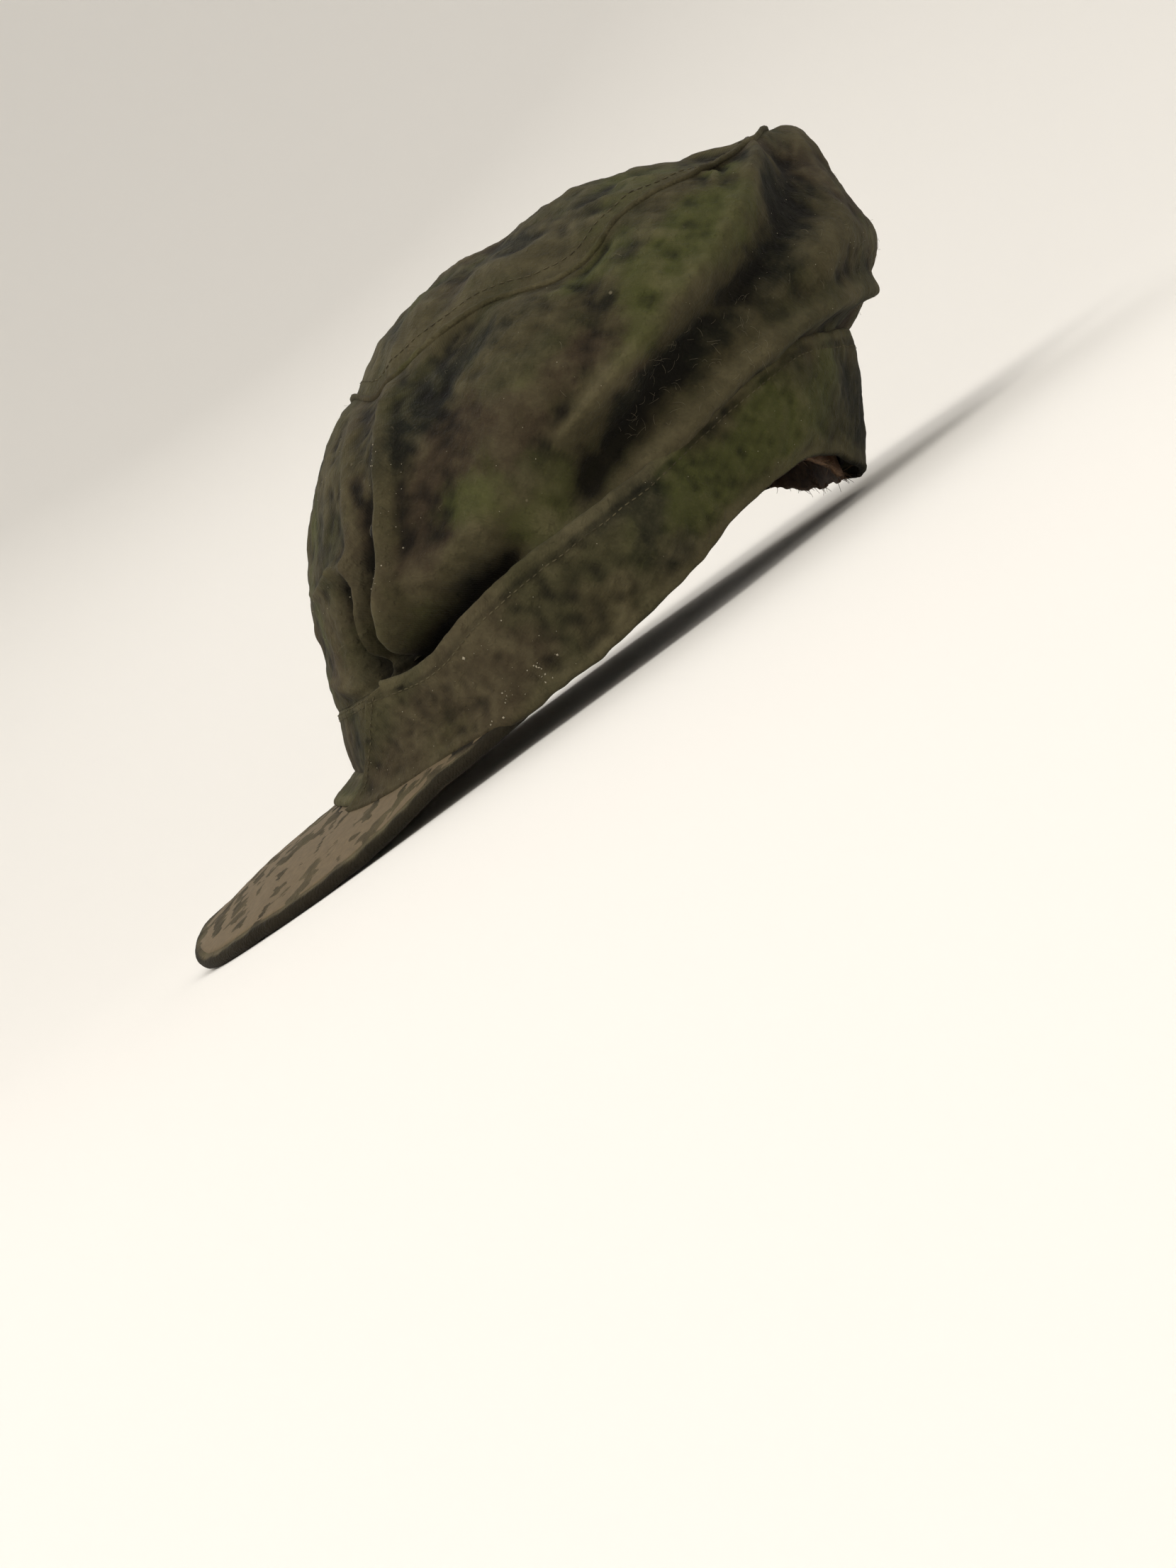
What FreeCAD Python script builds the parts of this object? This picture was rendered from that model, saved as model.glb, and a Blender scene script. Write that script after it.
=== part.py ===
import FreeCAD, Part
import math
import os

# A soft field cap with a stiff arched peak and a turned-up ear flap.
# Frame: origin at the centre of the head opening, +Z up, the peak points to -Y,
# the wearer's left is +X. Millimetres.

doc = FreeCAD.newDocument("FieldCap")
V = FreeCAD.Vector

# ---------------------------------------------------------------- driving sizes
# Each level of the crown and of the flap is a tilted oval: where it crosses the
# front and the back of the centre plane, and half its breadth.
LEVEL_SIZES = {
    "bandLow": (-97.5, 3.0, 97.5, -4.0, 81.0),
    "bandTop": (-89.5, 22.0, 104.0, 20.0, 82.0),
    "sideLow": (-80.5, 44.0, 140.0, 36.0, 85.0),
    "sideMid": (-67.0, 66.0, 147.0, 57.0, 83.0),
    "sideHigh": (-49.0, 82.0, 144.5, 72.0, 77.0),
    "topSeam": (-25.0, 92.0, 138.0, 80.0, 68.0),
    "sweatLow": (-97.5, -1.0, 97.0, -6.0, 81.0),
    "sweatTop": (-88.5, 21.5, 103.5, 19.5, 81.8),
    "flapLow": (-101.0, -10.0, 101.0, -12.0, 85.0),
    "flapMid": (-98.0, 5.0, 110.0, 4.0, 87.0),
    "flapTop": (-92.0, 19.0, 121.0, 20.0, 88.0),
}
LEVEL_FIELDS = ("FrontY", "FrontZ", "RearY", "RearZ", "Breadth")

# The peak's arched upper face: its height on the centre line and its radius, at
# stations from behind the temples to beyond the tip.
ARCH_STATIONS = {
    "archTemple": (-14.0, 1.6, 262.0),
    "archSeam": (-99.0, -2.6, 262.0),
    "archMiddle": (-135.0, -6.0, 250.0),
    "archTip": (-176.0, -12.6, 215.0),
}
ARCH_FIELDS = ("Place", "Height", "Radius")

PLAIN_SIZES = {
    "clothThickness": 1.6,
    "liningOuter": 2.0,
    "liningInner": 2.8,
    "sweatInner": 3.4,
    "domeRise": 26.0,
    "seamFoldProud": 1.4,
    "seamFoldDrop": 3.0,
    "seamStitchDrop": 5.5,
    "skinGap": 0.1,
    "threadProud": 0.6,
    "threadWidth": 0.9,
    "flapCloth": 1.4,
    "flapFacingOuter": 1.5,
    "flapFacingInner": 2.5,
    "flapEndLowY": -80.0,
    "flapEndSlope": 44.0,
    "flapStitchDrop": 5.0,
    "peakTipY": -170.0,
    "peakHalfWidth": 84.0,
    "peakCornerRadius": 66.0,
    "peakFrontRadius": 130.0,
    "peakCornerTurn": 25.0,
    "peakTempleX": 79.0,
    "peakTempleY": -26.0,
    "peakSideY": -60.0,
    "peakThickness": 3.6,
    "coverCloth": 0.9,
    "edgeWrap": 2.2,
    "peakOuterRow": 5.0,
    "peakInnerRow": 12.0,
    "roomBehindTemple": 3.0,
    "roomFrontZ": -1.8,
    "roomRearZ": -7.2,
    "stripWidth": 9.0,
    "stripHeight": 3.4,
    "stripGap": 0.2,
    "stripEndY": -32.0,
    "rowClearance": 1.0,
    "archOverhang": 26.0,
    "columnHeight": 120.0,
}

sheet = doc.addObject("Spreadsheet::Sheet", "Sizes")
sheet.Label = "Sizes"
cellRow = 0


def addCell(alias, value):
    global cellRow
    cellRow += 1
    sheet.set(f"A{cellRow}", alias)
    sheet.set(f"B{cellRow}", str(value))
    sheet.setAlias(f"B{cellRow}", alias)


for table, fields in ((LEVEL_SIZES, LEVEL_FIELDS), (ARCH_STATIONS, ARCH_FIELDS)):
    for name, values in table.items():
        for field, value in zip(fields, values):
            addCell(name + field, value)
for name, value in PLAIN_SIZES.items():
    addCell(name, value)
doc.recompute()


def size(alias):
    return float(sheet.get(alias))


def bind(item, prop, text):
    # text holds Sizes.alias names and plain numbers; the result is a length
    item.setExpression(prop, f"({text}) * 1 mm")


# ------------------------------------------------------------- crown ovals
def levelPoint(level, share=0.0, toward=None):
    # front and rear points and half breadth, optionally part of the way to another level
    low = [size(level + field) for field in LEVEL_FIELDS]
    if toward is None:
        return low
    high = [size(toward + field) for field in LEVEL_FIELDS]
    return [a + (b - a) * share for a, b in zip(low, high)]


def addOval(name, level, inset, share=0.0, toward=None):
    # inset is an expression: how far the oval lies inside the outer face
    frontY, frontZ, rearY, rearZ, breadth = levelPoint(level, share, toward)

    def mixed(field):
        first = f"Sizes.{level}{field}"
        if toward is None:
            return first
        return f"({first} + (Sizes.{toward}{field} - {first}) * {share})"

    oval = doc.addObject("Part::Ellipse", name)
    run = f"({mixed('RearY')} - {mixed('FrontY')})"
    rise = f"({mixed('RearZ')} - {mixed('FrontZ')})"
    bind(oval, "MajorRadius", f"sqrt({run} ^ 2 + {rise} ^ 2) / 2 - ({inset})")
    bind(oval, "MinorRadius", f"{mixed('Breadth')} - ({inset})")
    tilt = math.degrees(math.atan2(rearZ - frontZ, rearY - frontY))
    turn = FreeCAD.Rotation(V(1, 0, 0), tilt).multiply(FreeCAD.Rotation(V(0, 0, 1), 90))
    centre = V(0, (frontY + rearY) / 2, (frontZ + rearZ) / 2)
    oval.Placement = FreeCAD.Placement(centre, turn)
    return oval


def addLoft(name, ovals):
    loft = doc.addObject("Part::Loft", name)
    loft.Sections = ovals
    loft.Solid = True
    loft.Ruled = False
    return loft


def combine(kind, name, base, tool):
    result = doc.addObject("Part::" + kind, name)
    result.Base = base
    result.Tool = tool
    return result


def addShell(name, steps, outer, inner):
    # a wall between two lofts through the same levels; steps are (level, share, toward)
    outerOvals = [addOval(f"{name}Out{i}", *(step[0], outer), *step[1:]) for i, step in enumerate(steps)]
    innerOvals = [addOval(f"{name}In{i}", *(step[0], inner), *step[1:]) for i, step in enumerate(steps)]
    return combine("Cut", name, addLoft(name + "Outer", outerOvals), addLoft(name + "Inner", innerOvals))


def addBox(name, low, high):
    box = doc.addObject("Part::Box", name)
    box.Length, box.Width, box.Height = (high[i] - low[i] for i in range(3))
    box.Placement = FreeCAD.Placement(V(*low), FreeCAD.Rotation())
    return box


REACH = 300.0  # half the side of the helper boxes, well past the whole cap
leftSide = addBox("LeftSide", (0, -REACH, -REACH), (REACH, REACH, REACH))
rightSide = addBox("RightSide", (-REACH, -REACH, -REACH), (0, REACH, REACH))
SIDES = {"left": leftSide, "right": rightSide}

parts = []


def finish(item, label):
    item.Label = label
    parts.append(item)
    return item


# ------------------------------------------------------------- the peak
def archArc(station, offset):
    # the arc across the peak at one station, `offset` above its upper face
    place, height, radius = (size(station + field) for field in ARCH_FIELDS)
    halfWidth = size("peakHalfWidth") + size("archOverhang")
    centreZ = height - radius
    reach = radius + offset
    edgeZ = centreZ + math.sqrt(reach ** 2 - halfWidth ** 2)
    right, left = V(-halfWidth, place, edgeZ), V(halfWidth, place, edgeZ)
    return right, left, Part.Arc(right, V(0, place, centreZ + reach), left).toShape()


def addSlab(name, above, below):
    # an arched plate from `above` the peak's upper face down to `below` it
    wires = []
    for station in ARCH_STATIONS:
        upRight, upLeft, upper = archArc(station, above)
        lowRight, lowLeft, lower = archArc(station, below)
        leftSide = Part.LineSegment(upLeft, lowLeft).toShape()
        rightSide = Part.LineSegment(lowRight, upRight).toShape()
        wires.append(Part.Wire([upper, leftSide, lower, rightSide]))
    slab = doc.addObject("Part::Feature", name)
    slab.Shape = Part.makeLoft(wires, True, False)
    return slab


def addPeakBlank(name, inset):
    # the plan outline, padded from well below to well above the peak
    halfWidth = size("peakHalfWidth") - inset
    corner = size("peakCornerRadius")
    front = size("peakFrontRadius")
    cornerX = size("peakHalfWidth") - corner
    frontY = size("peakTipY") + front
    cornerY = frontY - math.sqrt((front - corner) ** 2 - cornerX ** 2)
    away = V(cornerX, cornerY - frontY, 0).normalize()
    join = V(cornerX, cornerY, 0) + away * (corner - inset)
    turn = math.radians(size("peakCornerTurn"))
    middle = V(cornerX, cornerY, 0) + V(math.cos(turn), -math.sin(turn), 0) * (corner - inset)
    tip = V(0, size("peakTipY") + inset, 0)
    side = V(halfWidth, size("peakSideY"), 0)
    temple = V(size("peakTempleX") - inset, size("peakTempleY"), 0)
    shoulder = V(halfWidth, cornerY, 0)

    def mirrored(point):
        return V(-point.x, point.y, 0)

    body = doc.addObject("PartDesign::Body", name)
    ground = [f for f in body.Origin.OriginFeatures if f.Role == "XY_Plane"][0]
    sketch = body.newObject("Sketcher::SketchObject", name + "Plan")
    sketch.AttachmentSupport = [(ground, "")]
    sketch.MapMode = "FlatFace"
    run = [
        Part.LineSegment(temple, side),
        Part.LineSegment(side, shoulder),
        Part.Arc(shoulder, middle, join),
        Part.Arc(join, tip, mirrored(join)),
        Part.Arc(mirrored(join), mirrored(middle), mirrored(shoulder)),
        Part.LineSegment(mirrored(shoulder), mirrored(side)),
        Part.LineSegment(mirrored(side), mirrored(temple)),
        Part.LineSegment(mirrored(temple), temple),
    ]
    sketch.addGeometry(run, False)
    pad = body.newObject("PartDesign::Pad", name + "Pad")
    pad.Profile = sketch
    pad.setExpression("Length", "Sizes.columnHeight * 1 mm")
    pad.Midplane = True
    return body


def addColumn(name, grow):
    # an upright oval column, `grow` wider all round than the band's lower edge
    oval = doc.addObject("Part::Ellipse", name + "Oval")
    bind(oval, "MajorRadius", f"(Sizes.bandLowRearY - Sizes.bandLowFrontY) / 2 + {grow}")
    bind(oval, "MinorRadius", f"Sizes.bandLowBreadth + {grow}")
    oval.Placement = FreeCAD.Placement(V(0, 0, -size("columnHeight") / 2), FreeCAD.Rotation(V(0, 0, 1), 90))
    column = doc.addObject("Part::Extrusion", name)
    column.Base = oval
    column.Dir = V(0, 0, 1)
    bind(column, "LengthFwd", "Sizes.columnHeight")
    column.Solid = True
    return column


headColumn = addColumn("HeadColumn", "0")
outline = addPeakBlank("PeakOutline", 0.0)
boardOutline = addPeakBlank("BoardOutline", size("edgeWrap"))
crescent = combine("Cut", "PeakCrescent", outline, headColumn)
boardCrescent = combine("Cut", "BoardCrescent", boardOutline, headColumn)

thick = size("peakThickness")
cover = size("coverCloth")
boardSlab = addSlab("BoardSlab", -cover, cover - thick)
finish(combine("Common", "PeakBoard", boardCrescent, boardSlab), "peak_board")

# the top cover's cloth is turned over the board's edge, down to the under cover
topAndEdge = combine("Common", "TopAndEdge", crescent, addSlab("TopSlab", 0.0, cover - thick))
finish(combine("Cut", "PeakTopCover", topAndEdge, combine(
    "Common", "BoardHollow", boardCrescent, addSlab("HollowSlab", -cover, -2 * thick))), "peak_top_cover")
underSlab = addSlab("UnderSlab", cover - thick, -thick)
finish(combine("Common", "PeakUnderCover", crescent, underSlab), "peak_under_cover")

threadSlab = addSlab("ThreadSlab", size("threadProud"), size("skinGap"))
stripColumn = addColumn("StripColumn", "Sizes.stripWidth")
rowKeepOut = addColumn("RowKeepOut", "Sizes.stripWidth + Sizes.rowClearance")
for word, cell in (("outer", "peakOuterRow"), ("inner", "peakInnerRow")):
    outerBlank = addPeakBlank(f"Row{word}Outer", size(cell))
    innerBlank = addPeakBlank(f"Row{word}Inner", size(cell) + size("threadWidth"))
    row = combine("Cut", f"Row{word}", outerBlank, innerBlank)
    openRow = combine("Cut", f"Row{word}Open", row, rowKeepOut)
    finish(combine("Common", f"PeakThread{word}", openRow, threadSlab), f"peak_thread_{word}")

# the rolled strip of cloth that lies along the seam, on top of the peak
stripRing = combine("Cut", "StripRing", stripColumn, headColumn)
stripOnPeak = combine("Common", "StripOnPeak", outline, stripRing)
stripFront = combine("Common", "StripFront", stripOnPeak, addBox(
    "StripReach", (-REACH, -REACH, -REACH), (REACH, size("stripEndY"), REACH)))
stripSlab = addSlab("StripSlab", size("stripHeight"), size("stripGap"))
finish(combine("Common", "PeakSeamStrip", stripFront, stripSlab), "peak_seam_strip")

# room over the peak for its travel, cut out of the flap that hangs down beside it
roomRearY = size("peakTempleY") + size("roomBehindTemple")
roomTilt = math.degrees(math.atan2(size("roomRearZ") - size("roomFrontZ"), roomRearY - size("flapEndLowY")))
peakRoom = addBox("PeakRoom", (-REACH, -REACH, -REACH), (REACH, 0.0, 0.0))
peakRoom.Placement = FreeCAD.Placement(
    V(0, roomRearY, size("roomRearZ")), FreeCAD.Rotation(V(1, 0, 0), roomTilt)).multiply(peakRoom.Placement)

# ------------------------------------------------------------- crown and band
CLOTH = "Sizes.clothThickness"
crownSteps = [("bandTop",), ("sideLow",), ("sideMid",), ("sideHigh",), ("topSeam",)]
crownShell = addShell("CrownShell", crownSteps, "0", CLOTH)
liningShell = addShell("LiningShell", crownSteps, "Sizes.liningOuter", "Sizes.liningInner")
for word, half in SIDES.items():
    finish(combine("Common", "CrownSide" + word, crownShell, half), "crown_side_" + word)
    finish(combine("Common", "LiningSide" + word, liningShell, half), "lining_side_" + word)

bandSteps = [("bandLow",), ("bandTop",)]
bandShell = addShell("BandShell", bandSteps, "0", CLOTH)
finish(bandShell, "crown_band")
sweatShell = addShell("SweatShell", [("sweatLow",), ("sweatTop",)], "Sizes.liningOuter", "Sizes.sweatInner")
finish(sweatShell, "sweatband")


def addDome(name, inset):
    # the upper half of an ellipsoid standing on the top seam's oval
    frontY, frontZ, rearY, rearZ, breadth = levelPoint("topSeam")
    dome = doc.addObject("Part::Ellipsoid", name)
    run = "(Sizes.topSeamRearY - Sizes.topSeamFrontY)"
    rise = "(Sizes.topSeamRearZ - Sizes.topSeamFrontZ)"
    bind(dome, "Radius1", f"Sizes.domeRise - ({inset})")
    bind(dome, "Radius2", f"Sizes.topSeamBreadth - ({inset})")
    bind(dome, "Radius3", f"sqrt({run} ^ 2 + {rise} ^ 2) / 2 - ({inset})")
    dome.Angle1 = 0
    dome.Angle2 = 90
    tilt = math.degrees(math.atan2(rearZ - frontZ, rearY - frontY))
    centre = V(0, (frontY + rearY) / 2, (frontZ + rearZ) / 2)
    dome.Placement = FreeCAD.Placement(centre, FreeCAD.Rotation(V(1, 0, 0), tilt))
    return dome


finish(combine("Cut", "TopPanel", addDome("TopOuter", "0"), addDome("TopInner", CLOTH)), "crown_top_panel")
finish(combine("Cut", "LiningTop", addDome("LiningTopOuter", "Sizes.liningOuter"),
               addDome("LiningTopInner", "Sizes.liningInner")), "lining_top")


def addBand(name, steps, proud, level, drop, width):
    # a narrow raised ring on a lofted wall, `drop` below the level's oval
    skin = addShell(name + "Skin", steps, f"-{proud}", "-Sizes.skinGap")
    frontY, frontZ, rearY, rearZ, _ = levelPoint(level)
    cutter = addBox(name + "Slice", (-REACH, -REACH, -drop - width), (REACH, REACH, -drop))
    tilt = FreeCAD.Rotation(V(1, 0, 0), math.degrees(math.atan2(rearZ - frontZ, rearY - frontY)))
    middle = V(0, (frontY + rearY) / 2, (frontZ + rearZ) / 2)
    cutter.Placement = FreeCAD.Placement(middle, tilt).multiply(cutter.Placement)
    return combine("Common", name, skin, cutter)


# the seam allowance that stands out as a ridge under the top panel's edge
finish(addBand("SeamFold", crownSteps, "Sizes.seamFoldProud", "topSeam", 0.0, size("seamFoldDrop")),
       "top_seam_fold")


# ------------------------------------------------------------- the turned-up flap
flapSteps = [("flapLow",), ("flapMid",), ("flapTop",)]
flapShell = addShell("FlapShell", flapSteps, "0", "Sizes.flapCloth")
facingShell = addShell("FacingShell", flapSteps, "Sizes.flapFacingOuter", "Sizes.flapFacingInner")

# everything ahead of the flap's slanted front ends
frontCut = addBox("FrontCut", (-REACH, -2 * REACH, -REACH), (REACH, 0, REACH))
frontCut.Placement = FreeCAD.Placement(
    V(-REACH, size("flapEndLowY"), size("flapLowFrontZ")), FreeCAD.Rotation(V(1, 0, 0), -size("flapEndSlope"))
).multiply(FreeCAD.Placement(V(0, -2 * REACH, -REACH), FreeCAD.Rotation()))


def flapHalf(name, shell, half):
    side = combine("Common", name + "Side", shell, half)
    opened = combine("Cut", name + "Open", side, frontCut)
    return combine("Cut", name, opened, peakRoom)


flapRow = addBand("FlapRow", flapSteps, "Sizes.threadProud", "flapTop", size("flapStitchDrop"),
                  size("threadWidth"))
for word, half in SIDES.items():
    finish(flapHalf("Flap" + word, flapShell, half), "flap_" + word)
    finish(flapHalf("Facing" + word, facingShell, half), "flap_facing_" + word)
    finish(flapHalf("FlapThread" + word, flapRow, half), "flap_thread_" + word)

for name, steps, level, drop, label in (
    ("BandRow", bandSteps, "bandTop", size("skinGap"), "band_thread"),
    ("TopRow", crownSteps, "topSeam", size("seamStitchDrop"), "top_seam_thread"),
):
    finish(addBand(name, steps, "Sizes.threadProud", level, drop, size("threadWidth")), label)

# ------------------------------------------------------------- check and write
doc.recompute()
for item in doc.Objects:
    bad = [state for state in item.State if state in ("Invalid", "Error")]
    if bad:
        raise RuntimeError(f"{item.Label}: {bad}")

os.makedirs("parts", exist_ok=True)
for item in parts:
    shape = item.Shape
    if shape.isNull() or not shape.isValid() or not shape.Solids:
        raise RuntimeError(f"{item.Label}: the shape is empty or invalid")
    box = shape.BoundBox
    print(f"{item.Label:20s} solids {len(shape.Solids)}  {shape.Volume / 1000:7.2f} cm3  "
          f"X {box.XMin:6.1f} {box.XMax:6.1f}  Y {box.YMin:6.1f} {box.YMax:6.1f}  Z {box.ZMin:6.1f} {box.ZMax:6.1f}")
    shape.exportStep(f"parts/{item.Label}.step")
print(len(parts), "pieces written")
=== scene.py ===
import math

import bpy
import numpy as np
from mathutils import Matrix, Vector, noise


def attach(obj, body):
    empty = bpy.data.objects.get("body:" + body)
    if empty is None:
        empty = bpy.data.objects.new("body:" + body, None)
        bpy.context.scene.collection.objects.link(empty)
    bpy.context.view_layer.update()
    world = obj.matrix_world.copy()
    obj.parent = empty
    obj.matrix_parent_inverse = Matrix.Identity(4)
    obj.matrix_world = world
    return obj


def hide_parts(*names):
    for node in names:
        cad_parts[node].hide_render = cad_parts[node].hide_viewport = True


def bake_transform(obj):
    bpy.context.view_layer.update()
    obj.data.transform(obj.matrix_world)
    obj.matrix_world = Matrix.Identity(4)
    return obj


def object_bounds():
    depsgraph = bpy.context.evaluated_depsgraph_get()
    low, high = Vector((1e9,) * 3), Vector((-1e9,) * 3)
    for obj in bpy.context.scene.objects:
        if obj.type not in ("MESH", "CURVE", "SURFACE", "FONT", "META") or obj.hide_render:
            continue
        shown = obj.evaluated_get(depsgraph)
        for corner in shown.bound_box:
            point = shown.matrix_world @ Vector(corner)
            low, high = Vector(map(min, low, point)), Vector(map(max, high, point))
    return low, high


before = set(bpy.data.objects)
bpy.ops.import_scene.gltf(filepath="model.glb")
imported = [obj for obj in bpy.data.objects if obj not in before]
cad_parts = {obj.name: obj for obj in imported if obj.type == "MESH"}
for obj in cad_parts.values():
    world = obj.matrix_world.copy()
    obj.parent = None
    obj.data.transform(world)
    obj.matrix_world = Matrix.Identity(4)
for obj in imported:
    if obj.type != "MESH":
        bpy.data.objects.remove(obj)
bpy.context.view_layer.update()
mm = 0.001  # shapes are worked out in millimetres and written in metres
print("frame loaded:", len(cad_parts), "nodes")


# curves and tables
def along(table, where):
    # smooth reading of a table of (place, value) pairs, for an array of places
    places = np.array([row[0] for row in table], float)
    values = np.array([row[1] for row in table], float)
    where = np.clip(np.asarray(where, float), places[0], places[-1])
    index = np.clip(np.searchsorted(places, where, side="right") - 1, 0, len(places) - 2)
    slopes = np.gradient(values, places)
    width = places[index + 1] - places[index]
    share = (where - places[index]) / width
    square, cube = share ** 2, share ** 3
    return ((2 * cube - 3 * square + 1) * values[index] + (cube - 2 * square + share) * width * slopes[index]
            + (3 * square - 2 * cube) * values[index + 1] + (cube - square) * width * slopes[index + 1])


def smooth(low, high, value):
    share = np.clip((np.asarray(value, float) - low) / (high - low), 0, 1)
    return share * share * (3 - 2 * share)


def onOval(angle, halfLength, halfBreadth, centreY=0.0, power=0.93):
    # angle in radians: 0 is the front, a quarter turn is the wearer's left; power 1 is an ellipse
    across, ahead = np.sin(angle), np.cos(angle)
    x = halfBreadth * np.sign(across) * np.abs(across) ** power
    return x, centreY - halfLength * np.sign(ahead) * np.abs(ahead) ** power


def outwardAt(angle):
    return np.stack([np.sin(angle), -np.cos(angle), np.zeros_like(angle)], -1)


def waves(points, scale, seed, detail=3):
    # soft random height for every point, about -1 to 1
    flat = points.reshape(-1, 3) / scale + seed * 7.31
    heights = [noise.fractal(Vector(p), 1.0, 2.0, detail) for p in flat]
    return np.array(heights).reshape(points.shape[:-1])


def normalsOf(grid, closed):
    # unit normals of a grid of points; the first index goes round, the second goes up
    if closed:
        around = np.roll(grid, -1, 0) - np.roll(grid, 1, 0)
    else:
        around = np.gradient(grid, axis=0)
    cross = np.cross(around, np.gradient(grid, axis=1))
    return cross / np.maximum(np.linalg.norm(cross, axis=2, keepdims=True), 1e-9)


def bulgeOf(grid, normals, closed, reach):
    # how far each point stands out from its neighbours `reach` cells away
    padded = np.pad(grid, ((reach, reach), (reach, reach), (0, 0)), mode="edge")
    if closed:
        padded = np.pad(grid, ((reach, reach), (0, 0), (0, 0)), mode="wrap")
        padded = np.pad(padded, ((0, 0), (reach, reach), (0, 0)), mode="edge")
    rows, columns = grid.shape[:2]
    middle = np.zeros_like(grid)
    for a, b in ((0, reach), (2 * reach, reach), (reach, 0), (reach, 2 * reach)):
        middle += padded[a:a + rows, b:b + columns] / 4
    return np.einsum("ijk,ijk->ij", grid - middle, normals)


# camouflage blotches
def blotches(points, first, second, spots, seed, near):
    # a field for one colour: loose noise everywhere, calmer on the near side, plus placed spots
    field = waves(points, 30.0, seed, 2) * (1 - 0.65 * near)
    for a, b, wide, tall, strength in spots:
        field = field + strength * np.exp(-((first - a) / wide) ** 2 - ((second - b) / tall) ** 2)
    return field


def colourFields(points, first, second, spots, seed, near=0.0):
    names = ("lime", "dark", "brown")
    return {name: blotches(points, first, second, spots.get(name, ()), seed + k, near)
            for k, name in enumerate(names)}


# mesh makers
def addMesh(name, points, faces, material, flat=None, layers=None):
    mesh = bpy.data.meshes.new(name)
    mesh.from_pydata((np.asarray(points) * mm).tolist(), [], faces)
    mesh.update()
    if flat is not None:
        corner = np.zeros(len(mesh.loops), np.int32)
        mesh.loops.foreach_get("vertex_index", corner)
        layer = mesh.uv_layers.new(name="cloth")
        layer.data.foreach_set("uv", (np.asarray(flat)[corner] * mm).astype(np.float32).ravel())
    for key, values in (layers or {}).items():
        attribute = mesh.attributes.new(key, "FLOAT", "POINT")
        attribute.data.foreach_set("value", np.asarray(values, np.float32).ravel())
    mesh.polygons.foreach_set("use_smooth", [True] * len(mesh.polygons))
    item = bpy.data.objects.new(name, mesh)
    bpy.context.scene.collection.objects.link(item)
    mesh.materials.append(material)
    return item


def gridFaces(rows, columns, closed, start=0, flip=False):
    faces = []
    for i in range(rows if closed else rows - 1):
        after = (i + 1) % rows
        for j in range(columns - 1):
            quad = (start + i * columns + j, start + after * columns + j,
                    start + after * columns + j + 1, start + i * columns + j + 1)
            faces.append(quad[::-1] if flip else quad)
    return faces


weathering = {
    "fineWeight": 2.2,      # for what stands out over a few cells
    "wearBroad": 0.22,      # for what stands out over four times as many
    "shadeBroad": 0.16,
}


def addCloth(name, grid, material, thickness, closed=False, wearAndShadeGain=1.0, extraWearAndHighlight=None, reach=3,
             fields=None):
    # a sheet of cloth with a real thickness, laid behind the grid against its normals
    rows, columns = grid.shape[:2]
    normals = normalsOf(grid, closed)
    inner = grid - normals * thickness
    count = rows * columns
    faces = gridFaces(rows, columns, closed) + gridFaces(rows, columns, closed, count, True)
    rims = [[i * columns + j for i in range(rows)] for j in (0, columns - 1)]
    for rim, flip in zip(rims, (False, True)):
        last = len(rim) if closed else len(rim) - 1
        for i in range(last):
            a, b = rim[i], rim[(i + 1) % len(rim)]
            quad = (a + count, b + count, b, a)
            faces.append(quad[::-1] if flip else quad)
    if not closed:
        for first, flip in ((0, True), ((rows - 1) * columns, False)):
            for j in range(columns - 1):
                a, b = first + j, first + j + 1
                quad = (a + count, b + count, b, a)
                faces.append(quad[::-1] if flip else quad)
    fine = bulgeOf(grid, normals, closed, reach)
    broad = bulgeOf(grid, normals, closed, reach * 4)
    wearAndHighlight = np.clip((fine * weathering["fineWeight"] + broad * weathering["wearBroad"]) * wearAndShadeGain, 0, 1)
    # painted shade: the cloth is darkened where it sinks in, in creases and hollows
    shadeAndDirt = np.clip(-(fine * weathering["fineWeight"] + broad * weathering["shadeBroad"]) * wearAndShadeGain, 0, 1)
    if extraWearAndHighlight is not None:
        wearAndHighlight = np.clip(wearAndHighlight + extraWearAndHighlight, 0, 1)
    step = np.linalg.norm(np.diff(grid, axis=0, prepend=grid[:1]), axis=2)
    rise = np.linalg.norm(np.diff(grid, axis=1, prepend=grid[:, :1]), axis=2)
    flat = np.stack(np.meshgrid(np.cumsum(step.mean(1)), np.cumsum(rise.mean(0)), indexing="ij"), 2)
    layers = {"wearAndHighlight": wearAndHighlight, "shadeAndDirt": shadeAndDirt}
    layers.update(fields if fields is not None else colourFields(grid, 0, 0, {}, len(name)))
    # the listed painted shade in folds, crevices and under edges joins the painted shade from the cloth's
    # shape
    layers["shadeAndDirt"] = np.clip(layers["shadeAndDirt"] + layers.pop("hollow", 0), 0, 1)
    return addMesh(name, np.concatenate([grid.reshape(-1, 3), inner.reshape(-1, 3)]), faces, material,
                   np.concatenate([flat.reshape(-1, 2)] * 2),
                   {key: np.concatenate([values.ravel()] * 2) for key, values in layers.items()})


# shader maths
class Wire:
    # a node socket that takes part in sums
    def __init__(self, tree, socket):
        self.tree = tree
        self.socket = socket

    def math(self, operation, other=None, swap=False, clamp=False):
        node = self.tree.nodes.new("ShaderNodeMath")
        node.operation = operation
        node.use_clamp = clamp
        for place, value in enumerate((other, self) if swap else (self, other)):
            if isinstance(value, Wire):
                self.tree.links.new(value.socket, node.inputs[place])
            elif value is not None:
                node.inputs[place].default_value = value
        return Wire(self.tree, node.outputs[0])

    def __add__(self, other):
        return self.math("ADD", other)

    __radd__ = __add__

    def __mul__(self, other):
        return self.math("MULTIPLY", other)

    __rmul__ = __mul__

    def __sub__(self, other):
        return self.math("SUBTRACT", other)

    def __rsub__(self, other):
        return self.math("SUBTRACT", other, swap=True)

    def clamped(self):
        return self.math("ADD", 0.0, clamp=True)


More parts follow.
